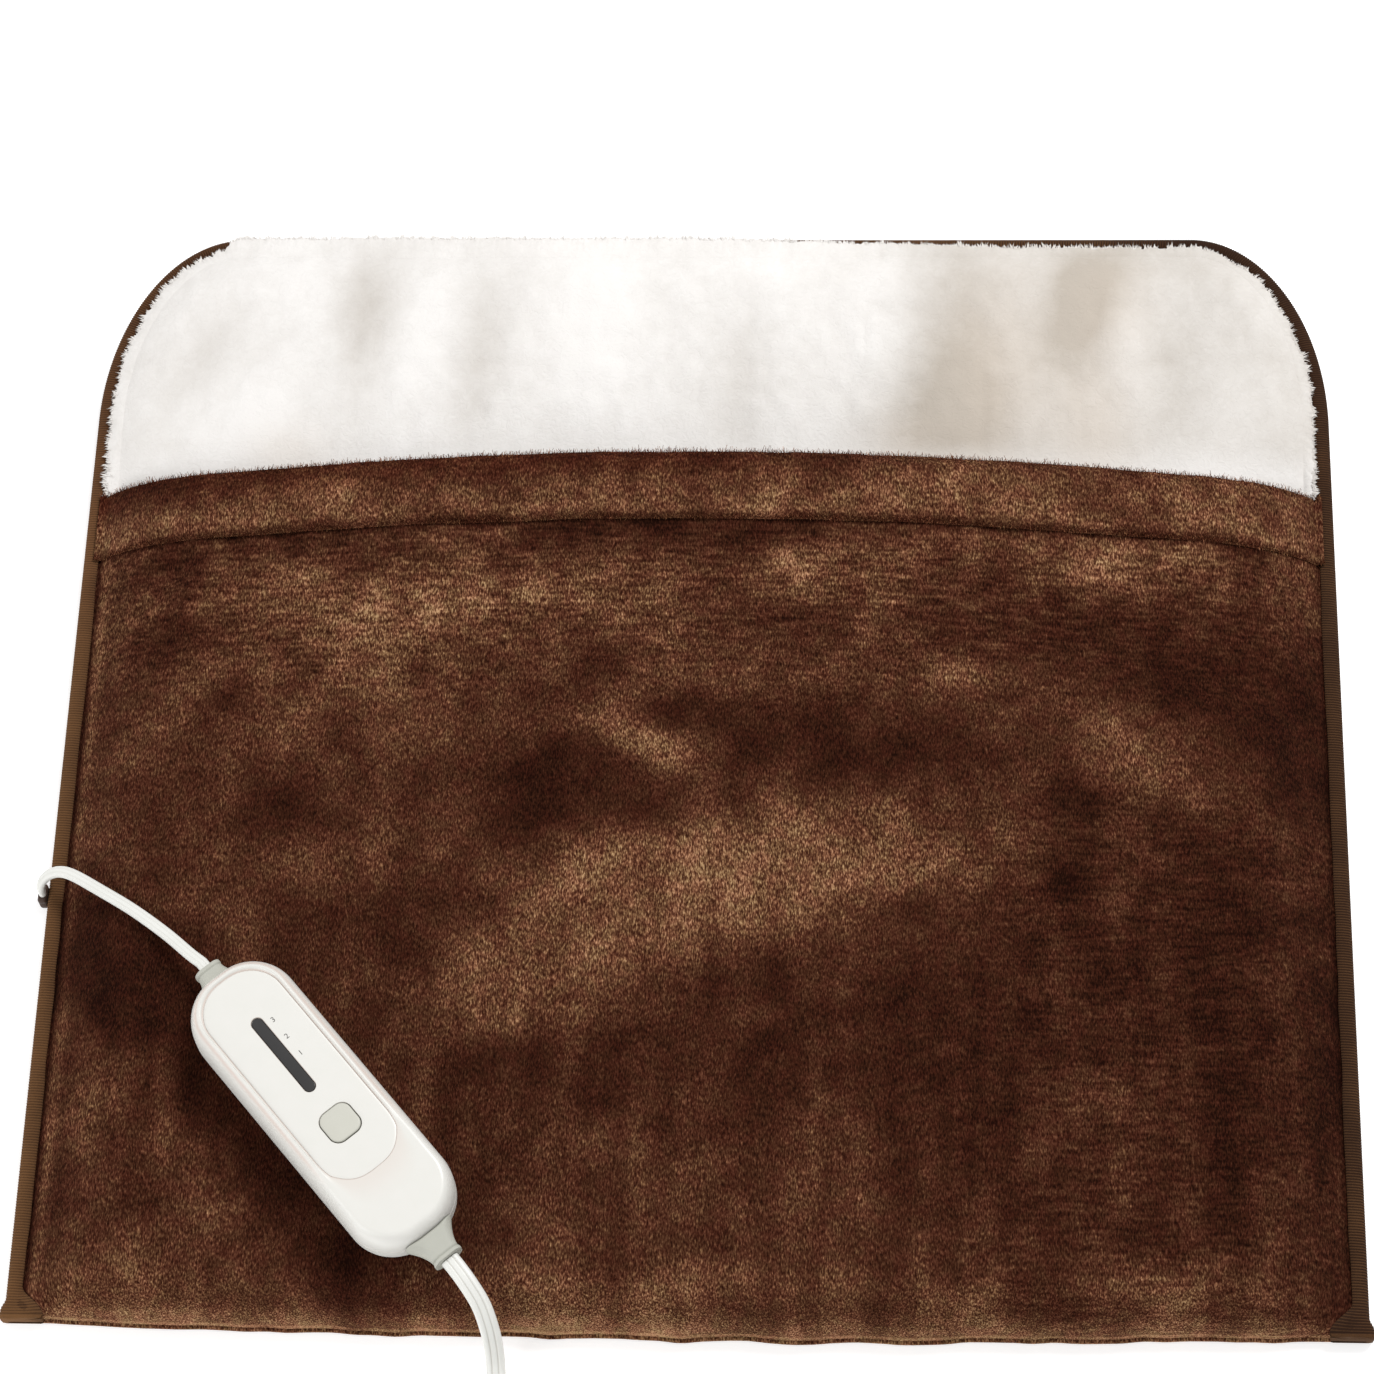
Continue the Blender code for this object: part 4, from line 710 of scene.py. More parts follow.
class Finish(Enum):
    """The finishes of the object, each made once and shared by its pieces."""

    FLANNEL = Flannel()
    SHERPA = Sherpa()
    YARN = Yarn()
    # Satin off-white mouldings with a faint spark-eroded grain, and pinkish painted shade in their folds
    ABS = Moulding("moulded_abs", "#dddbd6", "#d8d7d1", 0.25, 0.012, (0.34, 0.05), "#cfbcb1",
                   sockets=(("Coat Weight", 0.08), ("Coat Roughness", 0.3)))
    # The button's matt warm grey, a little rougher than the shell, with grey painted shade at its edges
    GREY_ABS = Moulding("moulded_grey_abs", "#c4c3b9", "#bebdb2", 0.3, 0.015, (0.48, 0.05), "#8f9086")
    # Soft thermoplastic rubber: matt, with a powdery bloom and painted shade in its folds
    RUBBER = Moulding("thermoplastic_rubber", "#b3b3a9", "#a9a99f", 0.35, 0.03, (0.62, 0.08), "#8c8d83")
    BROWN_RUBBER = Moulding("brown_thermoplastic_rubber", "#40291c", "#352117", 0.35, 0.03, (0.62, 0.08), "#22140d")
    # Extruded vinyl: satin, its grooves greyed with painted shade
    VINYL = Moulding("extruded_vinyl", "#e1e1dd", "#dadad4", 0.4, 0.015, (0.40, 0.06), "#c6c4bd")
    # Smoked acrylic: a polished dark window over a dull backing
    SMOKED = Moulding("smoked_acrylic", "#2e2d2d", "#3b3a3a", 0.9, 0.004, (0.16, 0.03))
    # Clear acrylic and glass: bright edges, with what lies behind them showing through
    CLEAR = Moulding("clear_acrylic", "#dfe6e6", "#d3dcdc", 0.5, 0.004, (0.10, 0.03),
                     sockets=(("Transmission Weight", 0.6), ("IOR", 1.49)))
    GLASS = Moulding("fuse_glass", "#e6eeee", "#dbe5e5", 0.5, 0.003, (0.05, 0.02),
                     sockets=(("Transmission Weight", 0.7), ("IOR", 1.52)))
    # Printing ink sits on the plate as a thin dull film
    INK = Moulding("printed_ink", "#6b6865", "#5c5a57", 0.15, 0.01, (0.6, 0.05))
    # Moulded nylon: near black and half matt
    BLACK_NYLON = Moulding("black_nylon", "#1c1b1b", "#262524", 0.3, 0.02, (0.5, 0.08), "#0e0e0e")
    # Solder mask over glass cloth: a thin green lacquer with the weave's faint unevenness
    SOLDER_MASK = Moulding("fibreglass_board", "#1e5a34", "#184a2b", 0.6, 0.02, (0.38, 0.06))
    # Zinc and nickel plating over drawn or stamped metal: fine lines along the piece
    ZINC = Moulding("zinc_plated_steel", "#b9b7b1", "#a5a39d", 0.2, 0.01, (0.32, 0.08), sockets=(("Metallic", 1.0),))
    NICKEL = Moulding("nickel_plated_brass", "#cbc6bb", "#bab4a8", 0.18, 0.01, (0.22, 0.07),
                      stretch=(0.15, 1.0, 1.0), sockets=(("Metallic", 1.0),))
    # Needled felt and loose wadding: matted fibres with no shine
    FELT = Moulding("needled_felt", "#b9b5ae", "#a29e97", 0.9, 0.4, (0.98, 0.02))
    WADDING = Moulding("polyester_wadding", "#ececea", "#d8d8d5", 2.2, 1.2, (0.98, 0.02))
    # Braided glass sleeving: straw-coloured and dull
    GLASS_SLEEVE = Moulding("sleeved_heating_wire", "#d8ccb4", "#c6b89c", 0.35, 0.06, (0.7, 0.08))

    def material(self) -> Material:
        """The finish's material, made on first use."""
        return bpy.data.materials.get(self.value.name) or self.value.make()


# The studio


@dataclass
class Studio:
    """Camera, floor and lights, set as the photograph's.

    Attributes:
        eye: the camera's place, metres.
        yaw: its turn about the upright axis, radians.
        pitch: how far it looks down, radians.
        roll: its turn about its own axis, radians.
        focal: focal length in pixels of the picture.
        picture: the picture's width, pixels.
        sensor: the sensor's width, millimetres.
        surround: the white surround's strength.
        floor_half: half the floor's side, metres.
        lights: each light's name, place, size and power; all aim at the origin.
    """

    eye: Triple = (0.0934565, -0.7265310, 1.5884855)
    yaw: float = 0.1306030
    pitch: float = 1.1215138
    roll: float = -0.1122683
    focal: float = 3988.0056
    picture: float = 1374.0
    sensor: float = 36.0
    surround: float = 0.53
    floor_half: float = 14.0
    lights: tuple = (("key", (0.9, 1.0, 1.9), 1.0, 44.0), ("fill", (-1.5, -1.4, 0.9), 1.8, 23.0))

    def add_camera(self) -> None:
        """Add the camera: its axes are worked out from yaw, pitch and roll."""
        forward = np.array([-math.sin(self.yaw) * math.cos(self.pitch),
                            math.cos(self.yaw) * math.cos(self.pitch), -math.sin(self.pitch)])
        level = np.array([math.cos(self.yaw), math.sin(self.yaw), 0.0])
        over = np.cross(level, forward)
        right = math.cos(self.roll) * level + math.sin(self.roll) * over
        up = math.cos(self.roll) * over - math.sin(self.roll) * level
        data = bpy.data.cameras.new("camera")
        data.sensor_width = self.sensor
        data.lens = self.sensor * self.focal / self.picture
        data.clip_start, data.clip_end = 0.05, 50.0
        camera = add_object("camera", data)
        camera.matrix_world = Matrix([*np.column_stack([right, up, -forward, self.eye]).tolist(), [0, 0, 0, 1]])
        bpy.context.scene.camera = camera

    def add_floor(self) -> None:
        """Add the pale floor, with the faint tooth of seamless paper."""
        material, _, (tooth,) = start_material("seamless_paper", {
            "Base Color": "#e7e7e7", "Roughness": 0.95, "Specular IOR Level": 0.1, "Emission Color": "#ffffff",
            "Emission Strength": 0.50}, (), Pattern(2.0))
        half = self.floor_half
        mesh = bpy.data.meshes.new("floor")
        mesh.from_pydata([(-half, -half, 0), (half, -half, 0), (half, half, 0), (-half, half, 0)], [], [(0, 1, 2, 3)])
        mesh.materials.append(finish_material(material, tooth, 0.05, 0.2, {}))
        floor = add_object("floor", mesh)

    def add_lights(self) -> None:
        """Add a white surround, a broad key from behind on the right, and a low fill from the front left."""
        world = bpy.data.worlds.new("surround")
        bpy.context.scene.world = world
        world.use_nodes = True
        set_up(world.node_tree.nodes["Background"], {"Color": "#ffffff", "Strength": self.surround})
        for name, place, size, energy in self.lights:
            data = bpy.data.lights.new(name, "AREA")
            data.shape, data.size, data.energy = "DISK", size, energy
            back = unit(np.array(place))
            side = unit(np.cross([0.0, 0.0, 1.0], back))
            axes = np.column_stack([side, np.cross(back, side), back, place])
            add_object(name, data).matrix_world = Matrix([*axes.tolist(), [0, 0, 0, 1]])

    def build(self) -> None:
        """Set up the camera, the floor, the lights and the plain view transform."""
        self.add_camera()
        self.add_floor()
        self.add_lights()
        bpy.context.scene.view_settings.view_transform = "Standard"
        log.info("studio: camera at %s", self.eye)


# Cords


class CordFrame(Enum):
    """How a flat cord's wide side is turned along it."""

    LEVEL = "kept at a tilt from level"
    CARRIED = "carried along with the least twist"


@dataclass
class FlatCord:
    """A flat three-core cord, with two fine grooves along each face.

    Attributes:
        name: the piece's name.
        centres: (n, 3) ring centres, metres.
        size: its section's wide and thin sides, metres.
        tilt: at each ring, the angle from lying flat to standing on edge, radians.
        frame: how the wide side is turned.
        side: the wide side's direction at the start of a carried frame.
        groove: the grooves' depth as a share of half the thickness.
    """

    name: str
    centres: Array
    size: Pair
    tilt: Array | float = 0.0
    frame: CordFrame = CordFrame.LEVEL
    side: Triple = (1.0, 0.0, 0.0)
    groove: float = 0.14

    def profile(self) -> tuple[Array, Array, Array]:
        """The section's points across and through, and how deep in a groove each is.

        The thickness falls by a share of exp(-(distance from the groove over its width)^2).
        """
        width, depth = self.size[0], self.size[1] / 2
        flat = width / 2 - depth
        angle = np.linspace(math.pi / 2, -math.pi / 2, 9)
        across = np.concatenate([np.linspace(-flat, flat, 25)[:-1], flat + depth * np.cos(angle),
                                 np.linspace(flat, -flat, 25)[1:-1], -flat - depth * np.cos(angle)])
        through = np.concatenate([np.full(24, depth), depth * np.sin(angle), np.full(23, -depth),
                                  -depth * np.sin(angle)])
        cleft = np.exp(-((np.abs(across) - width / 6) / (width / 24)) ** 2)
        return across, through * (1 - self.groove * cleft), cleft

    def sides(self, along: Array) -> Array:
        """The wide side's direction at each ring."""
        if self.frame is CordFrame.LEVEL:
            level = unit(np.cross(along, [0.0, 0.0, 1.0]))
            tilt = np.broadcast_to(self.tilt, len(along))[:, None]
            return np.cos(tilt) * level + np.sin(tilt) * np.cross(level, along)
        side, out = unit(np.array(self.side)), []
        for direction in along:
            side = unit(side - direction * np.dot(side, direction))
            out.append(side)
        return np.array(out)

    def build(self, replaced: tuple[str, ...]) -> Object:
        """The cord as a piece that stands for CAD cords."""
        along = unit(np.gradient(self.centres, axis=0))
        wide = self.sides(along)
        across, through, cleft = self.profile()
        rings = (self.centres[:, None] + wide[:, None] * across[None, :, None]
                 + np.cross(wide, along)[:, None] * through[None, :, None])
        # The value edge greys the grooves with painted shade
        form = Form.loft(rings, values={"edge": 7 * self.groove * cleft})
        return make_piece(self.name, form, Finish.VINYL, "cord_vinyl", replaced, 35.0)

    def length(self) -> float:
        """The centreline's length, metres."""
        return float(np.linalg.norm(np.diff(self.centres, axis=0), axis=1).sum())


@dataclass
class Cords:
    """The lead to the pouch, and the mains cord through its coil to the plug.

    Attributes:
        body: the controller's place.
        body_end: its end, in its own frame.
        axis_height: the height at which the cords leave it, in its own frame.
        straight: how far a cord runs straight on from a fixed end.
        pad_size, mains_size: each cord's section.
        pad_relief, mains_relief: how far each strain relief stands out.
        pad_route, mains_route, tail_route: places that the cords pass through.
        entry: where the lead goes into the pouch.
        mains_tilt, tail_tilt: between which shares of its way the cord turns on edge, or flat.
        coil_centre, coil_turns, coil_radius, coil_pitch: the coil in plan, its turns in one layer.
        coil_base, coil_layer: its underside's height and the distance between its layers.
    """

    body: Place
    body_end: float = 0.0725
    axis_height: float = 0.0100
    straight: float = 0.0040
    pad_size: Pair = (0.0054, 0.0032)
    pad_relief: float = 0.0077
    pad_route: tuple = ((-.2098, -.1111, .0378), (-.2218, -.1003, .0340), (-.2374, -.0883, .0305),
                        (-.2536, -.0774, .0262), (-.2656, -.0698, .0232), (-.2722, -.0672, .0214),
                        (-.2776, -.0674, .0190), (-.2811, -.0694, .0160))
    entry: Triple = (-.2823, -.0715, .0093)
    mains_size: Pair = (0.0080, 0.0038)
    mains_relief: float = 0.0125
    mains_route: tuple = ((-.0848, -.2525, .0370), (-.0798, -.2596, .0330), (-.0768, -.2665, .0270),
                          (-.0752, -.2725, .0190), (-.0745, -.2790, .0118), (-.0743, -.2880, .0070),
                          (-.0745, -.3000, .0056), (-.0752, -.3180, .0054))
    mains_tilt: Pair = (0.45, 0.75)
    coil_centre: Pair = (-.0200, -.3520)
    coil_turns: float = 2.75
    coil_radius: float = 0.0460
    coil_pitch: float = 0.0074
    coil_base: float = 0.0014
    coil_layer: float = 0.0086
    tail_route: tuple = ((.0370, -.3310, .0132), (.0418, -.3135, .0118), (.0547, -.3008, .0092),
                         (.0730, -.2964, .0070))
    tail_tilt: Pair = (0.25, 0.75)

    def relief_end(self, side: int, relief: float) -> tuple[Array, Array]:
        """Where a cord leaves the controller, and its direction there."""
        return self.body.ray((side * (self.body_end + GAP + relief), 0.0, self.axis_height), (side, 0.0, 0.0))

    def route(self, places: list, step: float) -> Array:
        """Points about a step apart on a smooth curve through places."""
        return evenly(spline(np.array(places), 24 * len(places)), step)

    def pad_centres(self) -> Array:
        """The pad lead's centreline: over the pouch's edge and down into its entry."""
        start, out = self.relief_end(-1, self.pad_relief)
        end = np.array(self.entry)
        free = self.route([start + self.straight * out, *self.pad_route, end + [0, 0, self.straight]], 0.0012)
        return np.vstack([start, free, end])

    def coil(self) -> Array:
        """The coil: a spiral in along the lower layer, up a layer where it reverses, and out again."""
        half = self.coil_turns * 2 * math.pi
        turn = np.linspace(-half, half, round(2 * self.coil_turns * 72) + 1)
        inner = self.coil_radius - self.coil_pitch * self.coil_turns / 2
        radius = inner + self.coil_pitch * np.abs(turn) / (2 * math.pi)
        climb = smoothstep(turn / math.pi + 0.5)
        angle = math.pi + turn + half
        return points_at(self.coil_centre[0] + radius * np.cos(angle), self.coil_centre[1] + radius * np.sin(angle),
                         self.coil_base + self.mains_size[0] / 2 + self.coil_layer * climb)

    def mains(self, plug_end: Array, to_plug: Array) -> tuple[Array, Array]:
        """The mains cord's centreline and its tilt at each ring."""
        start, out = self.relief_end(1, self.mains_relief)
        coil, free, quarter = self.coil(), self.straight, math.pi / 2
        into, off = unit(coil[1] - coil[0]), unit(coil[-1] - coil[-2])
        first = self.route([start + free * out, *self.mains_route, coil[0] - free * into, coil[0]], 0.0016)[:-1]
        last = self.route([coil[-1], coil[-1] + free * off, *self.tail_route, plug_end - free * to_plug], 0.0016)[1:]
        first, last = np.vstack([start, first]), np.vstack([last, plug_end])
        tilt = np.concatenate([
            quarter * smoothstep(np.linspace(0, 1, len(first)), *self.mains_tilt), np.full(len(coil), quarter),
            quarter * (1 - smoothstep(np.linspace(0, 1, len(last)), *self.tail_tilt))])
        return np.concatenate([first, coil, last]), tilt

    def build(self, plug: "Plug") -> None:
        centres = self.pad_centres()
        across = self.body.ray((0.0, 0.0, 0.0), (0.0, 1.0, 0.0))[1]
        pad = FlatCord("pad_lead_looks", centres, self.pad_size, frame=CordFrame.CARRIED, side=tuple(across),
                       groove=0.06)
        pad_object = pad.build(("pad_lead",))
        round(pad.length(), 3)

        centres, tilt = self.mains(*plug.cord_end())
        mains = FlatCord("mains_cord_looks", centres, self.mains_size, tilt)
        mains_object = mains.build(("mains_cord", "mains_cord_coil", "mains_cord_tail"))
        held = [self.build_tie(), *plug.build()]
        round(mains.length(), 3)
        log.info("pad lead %.3f m, mains cord %.3f m", pad.length(), mains.length())

    def build_tie(self) -> Object:
        """The flat tie round all the turns of the coil."""
        coil = self.coil()
        radii = np.linalg.norm(coil[:, :2] - np.array(self.coil_centre), axis=1)
        wide, thin = self.mains_size
        low_r, high_r = radii.min() - thin / 2, radii.max() + thin / 2
        low_z, high_z = coil[:, 2].min() - wide / 2, coil[:, 2].max() + wide / 2
        loops = []
        for edge, across in ((0.0005, -0.0029), (0.0008, -0.0030), (0.0011, -0.0029), (0.0012, -0.0026),
                             (0.0012, 0.0026), (0.0011, 0.0029), (0.0008, 0.0030), (0.0005, 0.0029)):
            out, up = round_rectangle(high_r - low_r + 2 * edge, high_z - low_z + 2 * edge, 0.0012 + edge, 8, 6).T
            loops.append(points_at(self.coil_centre[0] + across, self.coil_centre[1] - (low_r + high_r) / 2 - out,
                                   (low_z + high_z) / 2 + up))
        return make_piece("coil_tie_looks", Form.loft(loops, looped=True), Finish.BLACK_NYLON, "black_plastic",
                          ("coil_tie",))


@dataclass
class Plug:
    """The moulded two-blade plug with finger ribs, its ribbed strain relief and its blades.

    Attributes:
        place: its place, its own x running from the cord to the blades.
        length: its body's length.
        front, back: width and height of the body at the blades and at the cord.
        relief: the strain relief's length.
        relief_end: the relief's width and height at the cord.
        blade: the blades' length, thickness and width.
        spacing: the distance between them.
        root: how deep they go in.
    """

    place: Place = Place(0.1090, -0.2990, 0.0, -4.0)
    length: float = 0.0280
    front: Pair = (0.0250, 0.0130)
    back: Pair = (0.0150, 0.0108)
    relief: float = 0.0220
    relief_end: Pair = (0.0100, 0.0064)
    blade: Triple = (0.0160, 0.0015, 0.0064)
    spacing: float = 0.0127
    root: float = 0.0050

    def cord_end(self) -> tuple[Array, Array]:
        """Where the cord meets the relief, and the direction to the plug there."""
        return self.place.ray((-self.relief - 2 * GAP, 0.0, self.front[1] / 2), (1.0, 0.0, 0.0))

    def ring(self, x: float, width: float, height: float, radius: float | None = None, corner: int = 8,
             straight: int = 5, side: int = 0) -> Array:
        """A rounded section across the plug at x, on its axis or round a blade to one side."""
        radius = 0.36 * height if radius is None else radius
        across, up = round_rectangle(width, height, radius, corner, straight).T
        return points_at(x, across + side * self.spacing / 2, self.front[1] / 2 + up)

    def piece(self, node: str, rings: list, finish: Finish, slot: str, **more: list) -> Object:
        """A piece of the plug that stands for a CAD node; its own name leaves out "strain"."""
        name = node.replace("strain_", "") + "_looks"
        return make_piece(name, Form.loft(rings).moved(self.place), finish, slot, (node,), **more)

    def build(self) -> list[Object]:
        """The plug's pieces: its body with slots for the blades, its relief and the blades."""
        at = np.linspace(0.0, 1.0, 57)
        swell = smoothstep(at, -0.15, 0.95)
        round_off = np.sqrt(1 - np.clip(1 - np.minimum(at, 1 - at) / 0.045, 0, 1) ** 2)
        grip = 0.0007 * np.sin((at - 0.24) / 0.34 * 5 * math.pi) ** 2 * ((at > 0.24) & (at < 0.58))
        body = [self.ring(self.length * a, blend(self.back[0], self.front[0], s) - 2 * g - 0.0018 * (1 - r),
                          blend(self.back[1], self.front[1], s) - 0.0018 * (1 - r))
                for a, s, g, r in zip(at, swell, grip, round_off)]
        _, thin, wide = self.blade
        slots = [Form.loft([self.ring(x, thin + 2 * GAP, wide + 2 * GAP, 0.0005, 3, 1, side)
                            for x in (self.length - self.root - GAP, self.length + 0.004)]).moved(self.place)
                 for side in (-1, 1)]
        pieces = [self.piece("plug_body", body, Finish.ABS, "shell_plastic", cutters=slots)]

        at = np.linspace(0.0, 1.0, 73)
        ribs = 0.0011 * np.clip(np.sin(at * 7.5 * math.pi * 2 - 0.6), 0, 1) ** 0.7 * (at > 0.05) * (at < 0.93)
        relief = [self.ring(-GAP - self.relief * (1 - a),
                            blend(self.relief_end[0], 0.85 * self.back[0], a ** 1.3) - 2 * g,
                            blend(self.relief_end[1], 0.85 * self.back[1], a ** 1.3) - g)
                  for a, g in zip(at, ribs)]
        pieces.append(self.piece("plug_strain_relief", relief, Finish.RUBBER, "grey_rubber"))
        reach = self.length + self.blade[0]
        for side, name in ((-1, "plug_blade_left"), (1, "plug_blade_right")):
            blade = [self.ring(x, thin - trim * 0.5, wide - 2 * trim, 0.0003, 4, 2, side)
                     for x, trim in ((self.length - self.root, 0.0), (reach - 0.0016, 0.0), (reach - 0.0006, 0.0005),
                                     (reach, 0.0012))]
            pieces.append(self.piece(name, blade, Finish.NICKEL, "blade_nickel"))
        return pieces


# The pouch


@dataclass(frozen=True)
class Layers:
    """The pouch's outline and the heights of its layers, metres.

    Attributes:
        half_x, half_y, corner_x, corner_y: the outline, and its round corners at the top.
        opening_y, rim_y: the mouth's edge, and the front layers' edge inside the hem.
        wall: the binding's thickness.
        swell_start, swell_width: where in from a side the layers open, and over how far.
        base_lag: how much later the base's layers open.
        toe_width, toe_wall: the toe's round, and how far in its lower side lies.
        arch_lift, arch_half, arch_start: the feet's arch.
        pressed_thick: a layer's thickness where it is pressed in the binding.
        cover, lining, front_lining, front_cover: each layer's height pressed, and the heights
            of its two faces where it lies full.
        pressed_top: the height of the pressed layers' top.
        fleece_toe: where the fleece ends, in from the toe edge.
    """

    half_x: float = 0.2800
    half_y: float = 0.2600
    corner_x: float = 0.0600
    corner_y: float = 0.0970
    opening_y: float = 0.1220
    rim_y: float = 0.1191
    wall: float = 0.0010
    swell_start: float = 0.0078
    swell_width: float = 0.0480
    base_lag: float = 0.0060
    toe_width: float = 0.0220
    toe_wall: float = 0.0025
    arch_lift: float = 0.0241
    arch_half: float = 0.2350
    arch_start: float = -0.1000
    pressed_thick: float = 0.0014
    cover: Triple = (0.0013, 0.0, 0.0025)
    lining: Triple = (0.0030, 0.0106, 0.0186)
    front_lining: Triple = (0.0047, 0.0189, 0.0249)
    front_cover: Triple = (0.0064, 0.0252, 0.0282)
    pressed_top: float = 0.0077
    fleece_toe: float = 0.0091

    def side_swell(self, inset: Array, lag: float = 0.0) -> Array:
        """How far the layers have opened at an inset from the outline: a sine to a power."""
        share = np.clip((inset - self.swell_start - lag) / self.swell_width, 0.0, 1.0)
        return np.sin(share * math.pi / 2) ** 0.8

    def toe_swell(self, inset: Array) -> Array:
        """How far the layers have opened at an inset from the toe edge: a quarter ellipse."""
        return np.sqrt(1 - np.clip(1 - inset / self.toe_width, 0.0, 1.0) ** 2)

    def base_swell(self, x: Array, y: Array) -> Array:
        """How far the base's layers have opened, from the sides, the top and the toe."""
        toe = y + self.half_y - self.fleece_toe + self.swell_start
        return self.side_swell(np.minimum(self.edge_inset(x, y), toe), self.base_lag)

    def arch(self, x: Array, y: Array) -> Array:
        """The height that the feet's arch adds to the front layers."""
        across = np.clip(1 - (x / self.arch_half) ** 2, 0.0, 1.0) ** 1.1
        return self.arch_lift * across * smoothstep(y, self.arch_start, self.opening_y)

    def edge_inset(self, x: Array, y: Array) -> Array:
        """Distance in from the sides, the round corners and the top.

        In a corner the outline is an ellipse; q is 1 on it, and the distance is close to
        (1 - q) over q's slope.
        """
        a, b = self.corner_x, self.corner_y
        u = np.maximum(np.abs(x) - (self.half_x - a), 0.0)
        v = np.maximum(y - (self.half_y - b), 0.0)
        q = np.sqrt((u / a) ** 2 + (v / b) ** 2)
        slope = np.sqrt((u / a ** 2) ** 2 + (v / b ** 2) ** 2) / np.maximum(q, 1e-9)
        corner = (1 - q) / np.maximum(slope, 1e-9)
        straight = np.minimum(self.half_x - np.abs(x), self.half_y - y)
        return np.where((u > 0) & (v > 0), np.minimum(corner, 0.2), straight)

    def inward(self, places: Array) -> Array:
        """Unit directions into the pouch at (n, 2) places on its outline."""
        a, b = self.corner_x, self.corner_y
        u = np.sign(places[:, 0]) * np.maximum(np.abs(places[:, 0]) - (self.half_x - a), 0) / a ** 2
        v = np.maximum(places[:, 1] - (self.half_y - b), 0) / b ** 2
        return -unit(np.stack([u, v], 1))

    def path(self, step: float) -> Array:
        """Places a step apart along the outline, from the right toe corner round to the left."""
        a, b = self.corner_x, self.corner_y
        angle = np.linspace(0, math.pi / 2, 200)
        corner = np.stack([self.half_x - a + a * np.cos(angle), self.half_y - b + b * np.sin(angle)], 1)
        right = np.concatenate([[[self.half_x, -self.half_y]], corner])
        return evenly(np.concatenate([right, right[::-1] * [-1, 1]]), step)

    def bulge(self, x: Array, y: Array) -> Array:
        """How far the toe edge's middle bows out, fading inwards."""
        uneven = 0.0007 * soft_noise(x, 0 * x, 0.024, 5) + 0.0004 * soft_noise(x, 0 * x, 0.009, 6)
        middle = np.clip(1 - (x / 0.262) ** 2, 0, 1)
        return (uneven * np.minimum(4 * middle, 1) - 0.0038 * middle) * np.exp(-(y + self.half_y) / 0.05)

    def pad_grid(self, inset: float, toe_inset: float, columns: int, straight: int,
                 corner: int) -> tuple[Array, Array]:
        """Grid of x and y that fills the outline, whose rows narrow with the round corners.

        Args:
            inset: how far in from the sides and the top it ends, metres.
            toe_inset: how far in from the toe edge it ends, metres.
            columns: its columns.
            straight: its rows below the round corners.
            corner: its rows in them.

        Returns:
            The grid's x and y.
        """
        a, b = self.corner_x - inset, self.corner_y - inset
        low, high = toe_inset - self.half_y, self.half_y - inset - b
        angle = np.linspace(0, math.pi / 2, corner)
        y = np.concatenate([np.linspace(low, high, straight, endpoint=False), high + b * np.sin(angle)])
        half = np.concatenate([np.full(straight, self.half_x - inset), self.half_x - inset - a + a * np.cos(angle)])
        share = np.linspace(-1, 1, columns)
        return share[None] * half[:, None], np.repeat(y[:, None], columns, 1)

    def front_grid(self, step: float) -> tuple[Array, Array]:
        """Grid of x and y for the front, closer where the layers swell and turn down."""
        inset = self.wall + GAP
        side = np.concatenate([np.linspace(inset, self.swell_start, 4)[:-1],
                               self.swell_start + self.swell_width * np.linspace(0, 1, 30) ** 1.35])
        left = side - self.half_x
        middle = np.linspace(left[-1], -left[-1], round(-2 * left[-1] / step) + 1)[1:-1]
        angle = np.linspace(0, math.pi / 2, 18)
        toe = -self.half_y + self.toe_width * (1 - np.cos(angle))
        rest = np.linspace(toe[-1], self.rim_y, round((self.rim_y - toe[-1]) / step) + 1)[1:]
        return np.meshgrid(np.concatenate([left, middle, -left[::-1]]), np.concatenate([toe, rest]))

    def front_height(self, pressed: float, full: float, x: Array, y: Array) -> Array:
        """Height of one face of a front layer, from pressed in the binding to lying full."""
        share = self.side_swell(self.half_x - np.abs(x)) * self.toe_swell(y + self.half_y)
        return blend(pressed, full, share) + self.arch(x, y)


LAYERS = Layers()
# The controller's place on the pouch
BODY_PLACE = Place(-0.1488, -0.1788, 0.0285, -48.8)

# Patches of the pile brushed light or dark, with painted highlights on a crease and along the toe fold, and painted
# shadows beside the controller and the pad lead, under the hem and in dents: centre, half length and half width in cm,
# tilt, strength
NAP_LIGHT_AND_HIGHLIGHTS = ((-5.5, -10, 5, 2.6, 30, .8), (1, -6.8, 5.5, 2.8, 15, .8), (7.5, -6, 4.5, 2, 10, .8),
             (-1, -7.9, 5, .12, -6.5, .35), (19, -1.5, 4, 1.5, -25, .5), (-14, 5, 3.5, 2, 0, .5),
             (-8, 5.5, 3, 1, 0, .4), (-17, 6, 1.5, 1.5, 0, .3), (-2.5, -.8, 2.5, .8, -30, .8), (-8, -12, 2, 2, 0, .35),
             (-25, -17, 3, 2, 0, .2), (-24, -25, 3, 1.5, 0, .15), (-4, -25.3, 5, 1, 0, .35), (12, -25.2, 3, 1, 0, .4),
             (20, -24.5, 3, 1.2, 0, .45), (17.5, -16.5, 2.5, 2, 0, .25), (6, 7, 6, 1.5, 0, .3), (12, 8, 1, 1, 0, .2),
             (18, 6.5, 3, 2, 0, .35), (10, 2, 3, 1.5, 0, .2), (5, 1.5, 4, 1, 0, .2))
